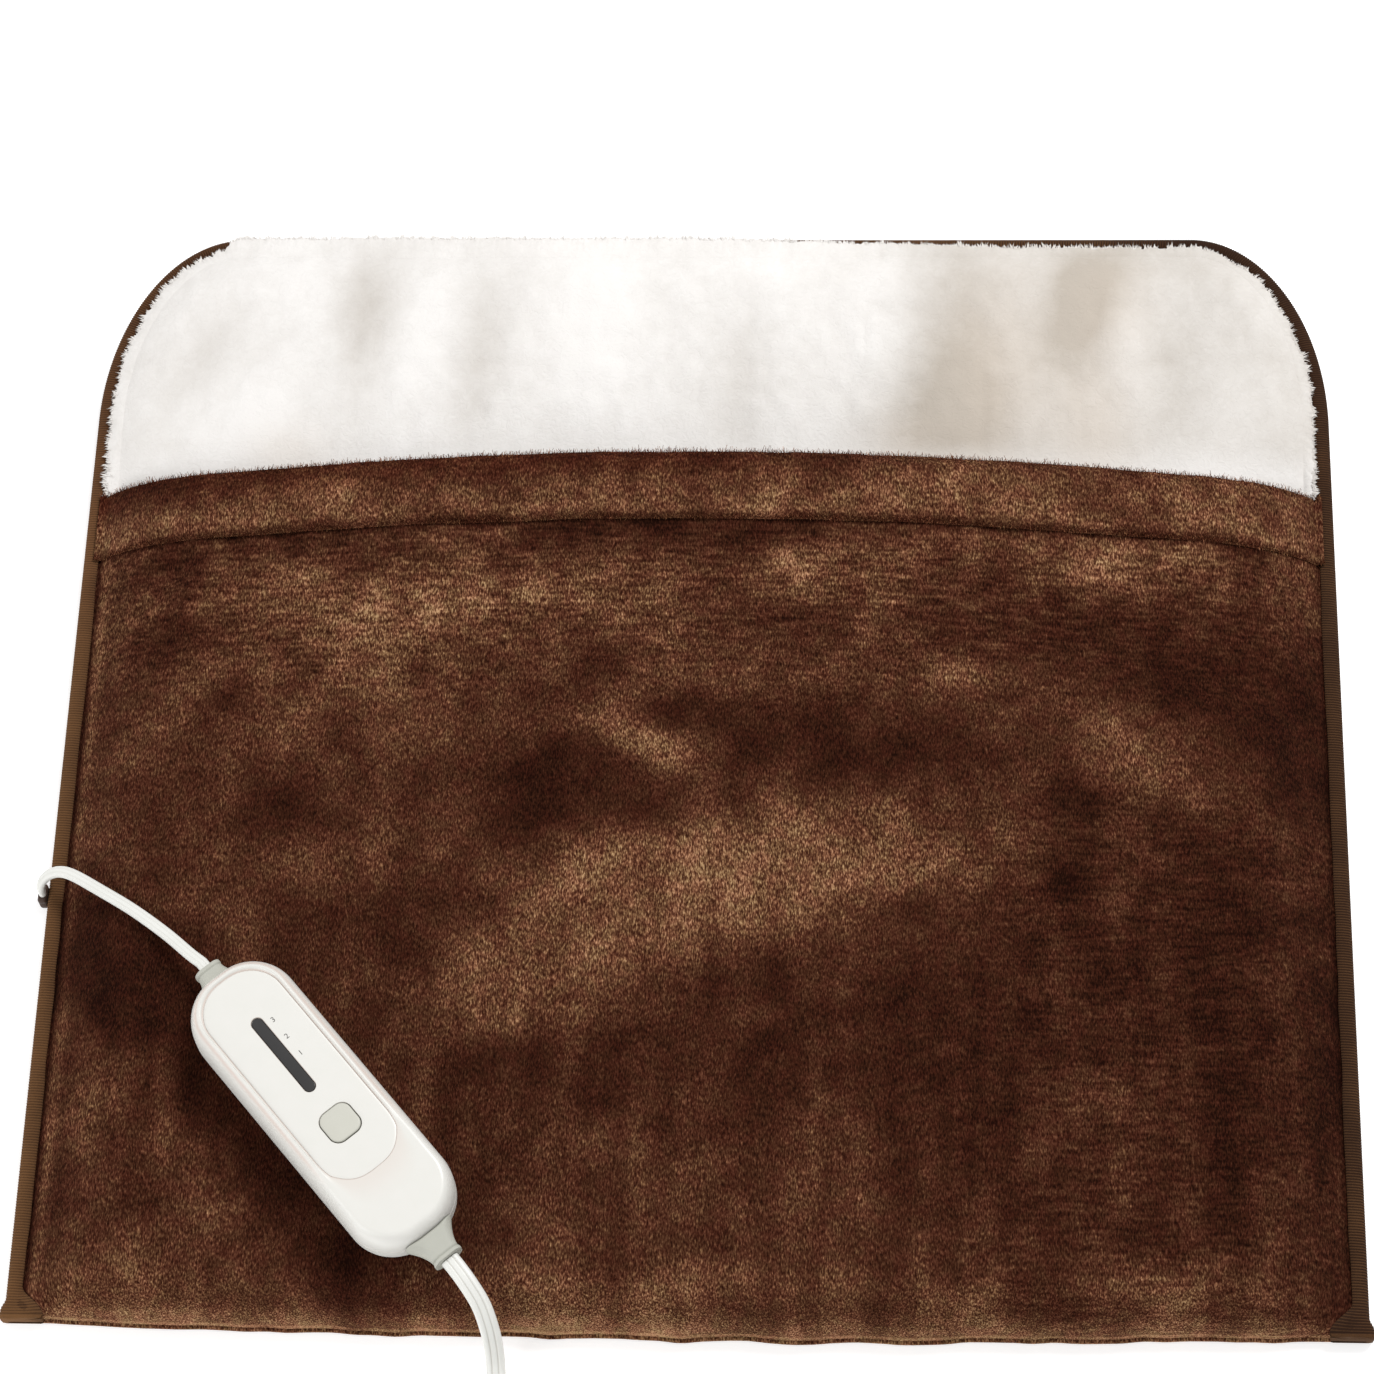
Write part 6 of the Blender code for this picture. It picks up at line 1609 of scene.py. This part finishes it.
@dataclass
class EdgeBinding:
    """The overlocked edge: a C of tight yarn ribs up one side, over the top and down the other.

    Attributes:
        reach: how far in its flanges go.
        wall: its thickness.
        height: its height.
        rib: the ribs' spacing.
        per_rib: rings to a rib.
        tab: how far in the flanges go at the toe corners' tabs.
        tab_length: a tab's length.
        entry: the lead's moulded entry in plan: its middle, length, width and corner radius.
        entry_levels: the entry's inset at each height.
    """

    reach: float = 0.0072
    wall: float = 0.0010
    height: float = 0.0090
    rib: float = 0.0012
    per_rib: int = 4
    tab: float = 0.0165
    tab_length: float = 0.0130
    entry: tuple = ((-0.2823, -0.0715), 0.0040, 0.0085, 0.0012)
    entry_levels: tuple = ((0.0009, 0.0), (0.0002, 0.0007), (0.0, 0.0014), (0.0, 0.0040), (0.0003, 0.0046),
                           (0.0003, 0.0052), (0.0, 0.0058), (0.0, 0.0076), (0.0003, 0.0085), (0.0009, 0.0090))

    def form(self) -> Form:
        """The C section swept along the outline, with a yarn's ridge at each rib."""
        centres = LAYERS.path(self.rib / self.per_rib)
        inward, along = LAYERS.inward(centres), unit(np.gradient(centres, axis=0))
        x, y = centres.T
        count = len(centres)
        from_end = np.minimum(np.arange(count), np.arange(count)[::-1]) * self.rib / self.per_rib
        widen = 1 - smoothstep(from_end, 0.0, self.tab_length)
        ridge = 0.5 + 0.5 * np.cos(np.arange(count) * 2 * math.pi / self.per_rib)
        reach = self.reach + (self.tab - self.reach) * widen + 0.0003 * soft_noise(from_end, 0 * x, 0.014, 95)
        swell = 0.0003 * ridge - 0.0001
        high, wall = self.height, self.wall
        # From the lower flange's edge round the outside to the upper flange's, and back inside
        section = ((reach, 0.0), (0.0016, 0.0), (0.0003 - swell, 0.0010), (-swell, high / 2),
                   (0.0005 - swell, high - 0.0014 + swell), (0.0018, high - 0.0003 + swell),
                   (0.55 * reach, high + swell), (reach - 0.0006, high - 0.0002 + swell), (reach, high - 0.6 * wall),
                   (reach - 0.0004, high - wall), (wall, high - wall), (wall, wall), (reach - 0.0003, wall))
        rings = []
        for k, (inset, z) in enumerate(section):
            inset = np.broadcast_to(inset, count)
            lean = np.clip(inset / self.reach, 0, 1) * 0.35 * self.rib * (1 - widen)
            place = centres + inward * inset[:, None] + along * lean[:, None]
            if 5 <= k <= 10:
                # Over the swelling front, the upper flange rides up with the cover
                cover = LAYERS.front_height(LAYERS.pressed_top, LAYERS.front_cover[2], *place.T)
                outside = k < 9
                clear = (0.0002 if outside else -0.0003) + 0.0010 * (1 - (inset / self.tab) ** 2) * outside
                risen = blend(z, np.maximum(z, cover + clear), smoothstep(widen, 0, 0.2))
                z = np.where(y < LAYERS.opening_y - 0.05, risen, z)
            rings.append(points_at(*place.T, z))
        rings = np.stack(rings, 1)
        # The tab flares out a little, and its end is closed over the layers that it holds
        flare = 0.0020 * np.sign(x) * smoothstep(widen, 0.4, 1.0)
        rings[:, :6, 0] += flare[:, None]
        ends = []
        for ring, side in ((rings[0], 1), (rings[-1], -1)):
            filled = ring - [0, 0.0001, 0]
            filled[9:, 0] = ring[7, 0]
            filled[9:, 2] = np.linspace(ring[7, 2], ring[0, 2] + wall, len(section) - 9)
            end = blend(filled, filled.mean(0), 0.06) - [0, 0.0011, 0]
            ends.append((end, filled)[::side])
        rings = np.concatenate([ends[0], rings, ends[1]])
        red = smoothstep(y, -0.02, 0.14) * smoothstep(-x, 0.1, 0.2) * 0.15
        dark = (0.95 * smoothstep(x, 0.15, 0.25) + 0.35 * smoothstep(y, 0.10, 0.20) * smoothstep(x, 0.0, 0.25)
                + 0.6 * smoothstep(y, 0.10, 0.22) * smoothstep(-x, -0.1, 0.25) + 0.4 * smoothstep(y, 0.245, 0.26))
        across = np.array([-0.1, -0.2, -0.35, -0.35, -0.35, -0.2, 0.0, 0.25, 0.5, 0.5, 0.5, 0.5, 0.5])
        values = {"rib": ridge[:, None], "red": red[:, None], "dark": dark[:, None] + across * (x < 0)[:, None]}
        return Form.loft(rings, values={key: np.pad(value, ((2, 2), (0, 0)), "edge") for key, value in values.items()})

    def build(self) -> None:
        """Make the binding and the small moulded entry of the lead on its left side."""
        make_piece("edge_binding_looks", self.form(), Finish.YARN, "binding", ("edge_binding",), 70.0)
        middle, length, width, radius = self.entry
        levels = [(round_rectangle(length - 2 * inset, width - 2 * inset, radius - inset / 2, 6, 2, middle), z)
                  for inset, z in self.entry_levels]
        make_piece("lead_entry_looks", Form.stacked(*levels), Finish.BROWN_RUBBER, "brown_rubber", ("lead_entry",))


# The hand controller, in its own frame: s along it towards the mains cord, t across, z up


@dataclass(frozen=True)
class Shell:
    """The controller's outlines and heights, metres.

    Attributes:
        length, width, radius, height: the body.
        parting: the height where the two shells meet.
        wall, floor, ceiling: the walls' thickness, and the inner faces' heights.
        recess, plate_top: the heights of the plate's seat and of its top.
        crown: how far in the front shell's rounding goes.
        back_round: the back shell's rounding.
        ridge: the height of the ridge round the upper end.
        lift: how far above the parting the front shell's outside starts.
        axis: the height of the cords' axis.
        neck, flange: the section of a strain relief in the shell's wall, and inside it.
        window, window_at: the display window's length and width, and its place.
        button, button_round, button_at, proud: the button's side, its corners' radius, its
            place, and how far it stands up over the shell.
    """

    length: float = 0.1450
    width: float = 0.0480
    radius: float = 0.0210
    height: float = 0.0236
    parting: float = 0.0100
    wall: float = 0.0020
    floor: float = 0.0024
    ceiling: float = 0.0202
    recess: float = 0.0220
    plate_top: float = 0.0233
    crown: float = 0.0050
    back_round: float = 0.0045
    ridge: float = 0.0004
    lift: float = 0.0002
    axis: float = 0.0100
    neck: Pair = (0.0084, 0.0064)
    flange: Pair = (0.0130, 0.0100)
    window: Pair = (0.0405, 0.0048)
    window_at: Pair = (-0.0240, 0.0)
    button: float = 0.0146
    button_round: float = 0.0044
    button_at: Pair = (0.0148, 0.0)
    proud: float = 0.0006

    def outline(self, inset: float) -> Array:
        """The body's outline, inset by a distance."""
        return round_rectangle(self.length - 2 * inset, self.width - 2 * inset, self.radius - inset, 22, 26)

    def plate(self, growth: float, like: Array) -> Array:
        """The plate's outline at the same bearings as the points of another outline.

        The plate has a round upper end, straight sides, and a lower end that bows by the
        cube of the distance from the middle line.
        """
        half, radius = 0.0180 + growth, 0.0160 + growth
        top, low = -0.0662 - growth, 0.0395 + growth
        angle = np.linspace(math.pi / 2, math.pi, 300)
        upper = np.stack([top + radius + radius * np.cos(angle), half - radius + radius * np.sin(angle)], 1)
        across = np.linspace(-half, half, 600)
        bow = low - 0.0110 * np.abs(across / half) ** 3
        soft = 0.0045 * np.clip((np.abs(across) / half - 0.93) / 0.07, 0, 1) ** 2
        sides = np.linspace(top + radius, (bow - soft)[0], 400)
        sides = np.stack([sides, np.full(400, half)], 1)
        edge = np.concatenate([np.stack([bow - soft, across], 1), upper, sides, (upper * [1, -1])[::-1],
                               sides * [1, -1]])
        centre = np.array([-0.0130, 0.0])
        bearing = np.arctan2(*(edge - centre).T[::-1])
        order = np.argsort(bearing)
        wanted = np.arctan2(*(like - centre).T[::-1])
        reach = np.interp(wanted, bearing[order], np.linalg.norm(edge - centre, axis=1)[order], period=2 * math.pi)
        return centre + reach[:, None] * np.stack([np.cos(wanted), np.sin(wanted)], 1)

    def window_ring(self, growth: float) -> Array:
        """The display window's outline, grown by a distance."""
        length, width = (side + 2 * growth for side in self.window)
        return round_rectangle(length, width, width / 2 - 1e-6, 12, 10, self.window_at)

    def button_ring(self, growth: float) -> Array:
        """The button's outline, grown by a distance."""
        size = self.button + 2 * growth
        return round_rectangle(size, size, self.button_round + growth, 12, 6, self.button_at)

    def across(self, s: Array | float, size: Pair, radius: float, corner: int, straight: int) -> Array:
        """A rounded section across the cords' axis at s."""
        t, up = round_rectangle(*size, radius, corner, straight).T
        return points_at(s, t, self.axis + up)


SHELL = Shell()


@dataclass
class Controller:
    """The hand controller: two shells, a face plate with window and button, and its strain reliefs.

    Attributes:
        place: its place on the pouch.
        sharp: edges of its pieces that bend more than this many degrees stay sharp.
        crown_rows: the front shell's rows: inset from the outline, and value edge, the share of painted shade.
        scale: the numerals of the heat scale, and where they stand.
        screws: the screw bores' places.
        reliefs: each strain relief's node, side, length, and its width and height against the
            shell, at the waist and at the lip.
        lip_rows: the lip's rows: share of the way from waist to lip, and distance from the end.
    """

    place: Place = BODY_PLACE
    sharp: float = 32.0
    crown_rows: tuple = ((0.0, 0.0), (0.00006, 0.0), (0.0002, 0.0), (0.0005, 0.0), (0.0009, 0.0), (0.0014, 0.0),
                         (0.0020, 0.1), (0.0026, 0.4), (0.0031, 0.75), (0.0035, 0.6), (0.0039, 0.2), (0.0043, 0.0),
                         (0.0047, 0.0), (0.0050, 0.0))
    scale: tuple = (("3", -0.0390), ("2", -0.0295), ("1", -0.0200))
    screws: tuple = ((-0.0580, -0.0145), (-0.0580, 0.0145), (0.0580, -0.0145), (0.0580, 0.0145))
    reliefs: tuple = (("pad_strain_relief", -1, 0.0077, (0.0156, 0.0104), (0.0118, 0.0088), (0.0124, 0.0094)),
                      ("mains_strain_relief", 1, 0.0125, (0.0230, 0.0120), (0.0126, 0.0092), (0.0133, 0.0100)))
    lip_rows: tuple = ((0.25, 0.0018), (0.6, 0.0015), (0.9, 0.0012), (1.0, 0.0009), (1.0, 0.0003), (0.93, 0.00008),
                       (0.84, 0.0))

    def make(self, name: str, form: Form, finish: Finish, slot: str, node: str = "",
             cutters: list[Form] | None = None, body: str = POUCH_BODY) -> None:
        """Make a piece from a form in the controller's frame, and cut its holes.

        Args:
            name: the piece's name.
            form: its shape.
            finish: its finish.
            slot: the record's material slot.
            node: the CAD node that it stands for, if any.
            cutters: forms that are cut out.
            body: the body that it rides on.
        """
        holes = [cutter.moved(self.place) for cutter in cutters or []]
        make_piece(name, form.moved(self.place), finish, slot, (node,) if node else (), self.sharp, body, holes)

    def crown(self, inset: Array | float, s: Array) -> Array:
        """Height of the front shell at an inset: a rounded square profile over the parting.

        It falls away a little towards the lower end.
        """
        rise = SHELL.height - SHELL.parting - 0.0016 * smoothstep(s, 0.034, 0.0725) ** 2
        share = 1 - np.clip(inset / SHELL.crown, 0, 1)
        return SHELL.parting + SHELL.lift + rise * (1 - share ** 2.3) ** (1 / 2.3) * 0.985

    def front_form(self) -> Form:
        """The front shell: inside, out at the parting, over the crown and its ridge, and into the recess."""
        wall, parting = SHELL.outline(SHELL.wall), SHELL.parting
        # The value edge paints shade along the parting line
        levels = [(SHELL.outline(SHELL.crown), SHELL.ceiling, 0.0), (SHELL.outline(0.0028), 0.0193, 0.0),
                  (wall, 0.0168, 0.0), (wall, parting, 0.2), (SHELL.outline(0.0002), parting, 0.5)]
        for inset, edge in self.crown_rows:
            outline = SHELL.outline(inset)
            # The ridge and its painted shade run round the upper end only
            fade = 1 - smoothstep(outline[:, 0], 0.014, 0.036)
            ridge = SHELL.ridge * math.sin(math.pi / 2 * min(max((inset - 0.0031) / 0.0014, 0), 1)) ** 2
            height = self.crown(inset, outline[:, 0]) + ridge * fade
            levels.append((outline, np.maximum(height, parting + SHELL.lift), edge * fade))
        # From the crown's last row on, the rows close in on the plate's outline, with painted shade growing towards
        # its seam
        inner = outline
        rim = SHELL.plate(GAP, inner)
        for share in (0.12, 0.3, 0.5, 0.7, 0.86, 0.96, 1.0):
            between = blend(inner, rim, share)
            ridge = (SHELL.ridge + 0.0002) * (0.5 + 0.5 * math.cos(math.pi * share))
            seat = blend(self.crown(1.0, between[:, 0]), SHELL.plate_top + 0.00002, smoothstep(share, 0.4, 1.0))
            levels.append((between, seat + ridge * fade - (0.00012 if share == 1.0 else 0.0),
                           0.8 * smoothstep(share, 0.5, 1.0) * np.maximum(fade, 0.35)))
        # A shallow ledge round the plate keeps its seam a faint line, darkened with painted shade
        ledge = SHELL.plate(0.00005, inner)
        levels += [(rim, SHELL.plate_top - 0.00015, 0.5), (ledge, SHELL.plate_top - 0.0002, 0.5),
                   (ledge, SHELL.recess, 1.0)]
        return Form.stacked(*levels)

    def mouths(self) -> list[Form]:
        """Cutters for the necks of both strain reliefs."""
        size = tuple(side + 2 * GAP for side in SHELL.neck)
        return [Form.loft([SHELL.across(side * s, size, 0.0022, 6, 3) for s in (0.0685, 0.0800)])
                for side in (-1, 1)]

    def build_shells(self) -> None:
        """Make the front and back shells."""
        slots = [Form.stacked((ring(GAP), 0.0168), (ring(GAP), 0.0300))
                 for ring in (SHELL.window_ring, SHELL.button_ring)]
        self.make("controller_front_looks", self.front_form(), Finish.ABS, "shell_plastic",
                  "controller_front_shell", [*slots, *self.mouths()])
        low, wall, floor = SHELL.parting - GAP, SHELL.outline(SHELL.wall), SHELL.floor
        # The value edge paints shade along the parting line
        levels = [(SHELL.outline(SHELL.wall + 0.0012), floor, 0.0), (wall, floor + 0.0012, 0.0), (wall, low, 0.2),
                  (SHELL.outline(0.0002), low, 0.6), (SHELL.outline(0.0), low - 0.0002, 0.0)]
        for angle in np.linspace(0, math.pi / 2, 12):
            levels.append((SHELL.outline(SHELL.back_round * (1 - math.cos(angle))),
                           SHELL.back_round * (1 - math.sin(angle)), 0.0))
        turn = np.arange(40) * 2 * math.pi / 40
        circle = np.stack([np.cos(turn), np.sin(turn)], 1)
        bores = [Form.stacked(*((np.array(screw) + radius * circle, z) for radius, z in (
            (0.0030, -0.002), (0.0030, 0.0015), (0.0016, 0.0015), (0.0016, 0.0060)))) for screw in self.screws]
        self.make("controller_back_looks", Form.stacked(*levels), Finish.ABS, "shell_plastic",
                  "controller_back_shell", [*bores, *self.mouths()])

    def build_face(self) -> None:
        """Make the face plate, the smoked window and the printed scale."""
        like, top = SHELL.outline(SHELL.crown), SHELL.plate_top
        # The value edge paints shade down the plate's side, in its seam
        levels = [(SHELL.plate(growth, like), z, edge) for growth, z, edge in (
            (0.0, SHELL.recess + GAP, 0.7), (0.0, top - 0.00022, 0.6), (-0.00006, top - 0.00008, 0.3),
            (-0.0002, top, 0.0), (-0.0012, top + 0.00003, 0.0), (-0.0060, top + 0.00008, 0.0))]
        holes = [Form.stacked(*((ring(growth), z) for growth, z in (
            (GAP, 0.0210), (GAP, top - 0.0002), (GAP + 0.0002, top + 0.00005), (GAP + 0.0004, top + 0.0010))))
                 for ring in (SHELL.window_ring, SHELL.button_ring)]
        self.make("face_plate_looks", Form.stacked(*levels), Finish.ABS, "plate_plastic", "face_plate", holes)
        window = [(SHELL.window_ring(growth), z)
                  for growth, z in ((0.0, 0.0218), (0.0, 0.0228), (-0.0001, 0.02295), (-0.0003, 0.0230))]
        self.make("display_window_looks", Form.stacked(*window), Finish.SMOKED, "smoked_window", "display_window")
        marks = [self.mark(text, s) for text, s in self.scale]
        self.make("scale_marks", Form.joined(marks), Finish.INK, "black_plastic")

    def mark(self, text: str, s: float) -> Form:
        """A printed numeral beside the window, its foot away from it."""
        curve = bpy.data.curves.new("mark", "FONT")
        curve.body, curve.size, curve.extrude = text, 0.0034, 0.00003
        curve.align_x, curve.align_y = "CENTER", "CENTER"
        holder = add_object("mark", curve)
        graph = bpy.context.evaluated_depsgraph_get()
        graph.update()
        mesh = bpy.data.meshes.new_from_object(holder.evaluated_get(graph))
        shape = bmesh.new()
        shape.from_mesh(mesh)
        bmesh.ops.remove_doubles(shape, verts=shape.verts, dist=1e-6)
        bmesh.ops.triangulate(shape, faces=shape.faces)
        points = np.array([vertex.co for vertex in shape.verts])
        tris = np.array([[vertex.index for vertex in face.verts] for face in shape.faces])
        shape.free()
        bpy.data.objects.remove(holder)
        bpy.data.curves.remove(curve)
        bpy.data.meshes.remove(mesh)
        # Text reads across the controller: its x runs along t, and its y towards the upper end
        placed = np.stack([s - points[:, 1], 0.0060 + points[:, 0], SHELL.plate_top + 0.00010 + points[:, 2]], 1)
        return Form(placed, np.zeros((0, 4), int), tris).outward()

    def build_button(self) -> None:
        """Make the button: a pillowed cap with a rim under the shell and a stem down to the switch."""
        top, rim_top, ring = SHELL.height + SHELL.proud, SHELL.ceiling - GAP, SHELL.button_ring
        stem = round_rectangle(0.0040, 0.0040, 0.0010, 12, 6, SHELL.button_at)
        # The value edge paints shade on the cap's side and the start of its rounding
        levels = [(stem, 0.0150, 0.0), (stem, 0.0189, 0.0), (ring(0.0013), 0.0189, 0.0), (ring(0.0013), rim_top, 0.0),
                  (ring(0.0), rim_top, 0.3), (ring(0.0), top - 0.0009, 1.0)]
        for share, edge in zip(np.linspace(0.15, 1.0, 6), (0.6, 0.3, 0.1, 0.0, 0.0, 0.0)):
            angle = share * math.pi / 2
            levels.append((ring(-0.0008 * (1 - math.cos(angle))), top - 0.0009 + 0.0008 * math.sin(angle), edge))
        levels += [(ring(-0.0020), top - 0.00004, 0.0), (ring(-0.0036), top, 0.0)]
        self.make("power_button_looks", Form.stacked(*levels), Finish.GREY_ABS, "grey_plastic", "power_button",
                  body="button")

    def relief_form(self, side: int, length: float, flare: Pair, waist: Pair, end: Pair) -> Form:
        """A strain relief: a flange inside the shell, a neck through its wall, a flare and a lip.

        Args:
            side: -1 at the pad lead's end, 1 at the mains cord's.
            length: how far it stands out.
            flare: width and height against the shell.
            waist: width and height at the waist.
            end: width and height at the lip.

        Returns:
            Its form in the controller's frame.
        """
        half, flat = SHELL.length / 2, SHELL.width / 2 - SHELL.radius
        inside = half - SHELL.wall - 3 * GAP

        def ring(first: Pair, second: Pair, share: float, s: Array | float) -> Array:
            """The section a share of the way from one size to another, at s."""
            size = tuple(blend(low, high, share) for low, high in zip(first, second))
            return SHELL.across(s, size, 0.40 * min(size), 12, 9)

        neck, flange = SHELL.neck, SHELL.flange
        rings = [ring(flange, flange, 0, inside - 0.0014), ring(flange, flange, 0, inside),
                 ring(neck, neck, 0, inside), ring(neck, neck, 0, half - 0.0004)]
        for share, out in ((0.5, 0.0), (0.94, 0.0), (1.0, 0.0002), (1.0, 0.0006)):
            face = ring(neck, flare, share, 0.0)
            # The face follows the shell's rounded end
            beyond = np.clip(np.abs(face[:, 1]) - flat, 0.0, None)
            face[:, 0] = half - SHELL.radius + np.sqrt(SHELL.radius ** 2 - beyond ** 2) + GAP + out
            rings.append(face)
        start = face[:, 0].copy()
        for share in np.linspace(0.08, 1.0, 22):
            rings.append(ring(waist, flare, (1 - share) ** 1.7, blend(start, half + length - 0.0020, share)))
        rings += [ring(waist, end, share, half + length - back) for share, back in self.lip_rows]
        rings = np.array(rings) * [side, 1, 1]
        # The value edge paints shade on the lip and where the relief meets the shell
        lip = np.zeros((len(rings), 1))
        lip[-9:-5, 0], lip[3:7] = (0.3, 0.6, 0.6, 0.3), 0.6
        return Form.loft(rings, values={"edge": lip})

    def build(self) -> None:
        """Make every visible piece of the controller."""
        self.build_shells()
        self.build_face()
        self.build_button()
        for node, *sizes in self.reliefs:
            self.make(node + "_looks", self.relief_form(*sizes), Finish.RUBBER, "grey_rubber", node)


def build_filling() -> None:
    """Make the felt that carries the heating wire and the wadding over it, inside the base."""
    x, y = LAYERS.pad_grid(0.036, 0.036, 120, 70, 36)
    matted = 0.0002 * soft_noise(x, y, 0.006, 101)
    felt = Form.slab(points_at(x, y, 0.0028), points_at(x, y, 0.0040 + np.minimum(matted, 0)))
    carrier = make_piece("heater_felt_looks", felt, Finish.FELT, "felt", ("heater_carrier",), 60.0)
    x, y = LAYERS.pad_grid(0.034, 0.0435, 120, 70, 36)
    under_fleece = blend(LAYERS.lining[0], LAYERS.lining[1], LAYERS.base_swell(x, y))
    top = under_fleece - GAP - 0.0003 + 0.0003 * soft_noise(x, y, 0.010, 102)
    wadding = Form.slab(points_at(x, y, 0.0068), points_at(x, y, np.maximum(top, 0.0074)))
    fill = make_piece("base_wadding_looks", wadding, Finish.WADDING, "wadding", ("base_wadding",), 60.0)


# The CAD pieces that stay as they are, inside the controller and the base, and their finishes
CARRIED_OVER = {
    Finish.GLASS_SLEEVE: ("heating_wire",),
    Finish.VINYL: ("lead_tail", "pad_lead_inner", "mains_cord_inner"),
    Finish.BLACK_NYLON: ("thermal_cutout", "wire_splice", "tact_switch", "control_chip", "triac", "pad_lead_clamp",
                         "mains_cord_clamp"),
    Finish.CLEAR: ("light_guide", "led_1", "led_2", "led_3", "switch_plunger", "film_capacitor"),
    Finish.GLASS: ("fuse",),
    Finish.SOLDER_MASK: ("circuit_board",),
    Finish.ZINC: ("housing_screw_up_left", "housing_screw_up_right", "housing_screw_low_left",
                  "housing_screw_low_right"),
}


def finish_inside() -> None:
    """Give the carried-over CAD pieces their finishes."""
    for finish, names in CARRIED_OVER.items():
        for name in names:
            mesh = bpy.data.objects[name].data
            mesh.materials.clear()
            mesh.materials.append(finish.material())
        log.info("%s on %s", finish.value.name, ", ".join(names))


def main() -> None:
    """Build every sub-assembly and hand the scene over."""
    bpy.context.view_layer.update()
    Studio().build()
    Cords(BODY_PLACE).build(Plug())
    PouchFront().build()
    PouchBase().build()
    EdgeBinding().build()
    Controller().build()
    build_filling()
    finish_inside()


if __name__ == "__main__":
    main()
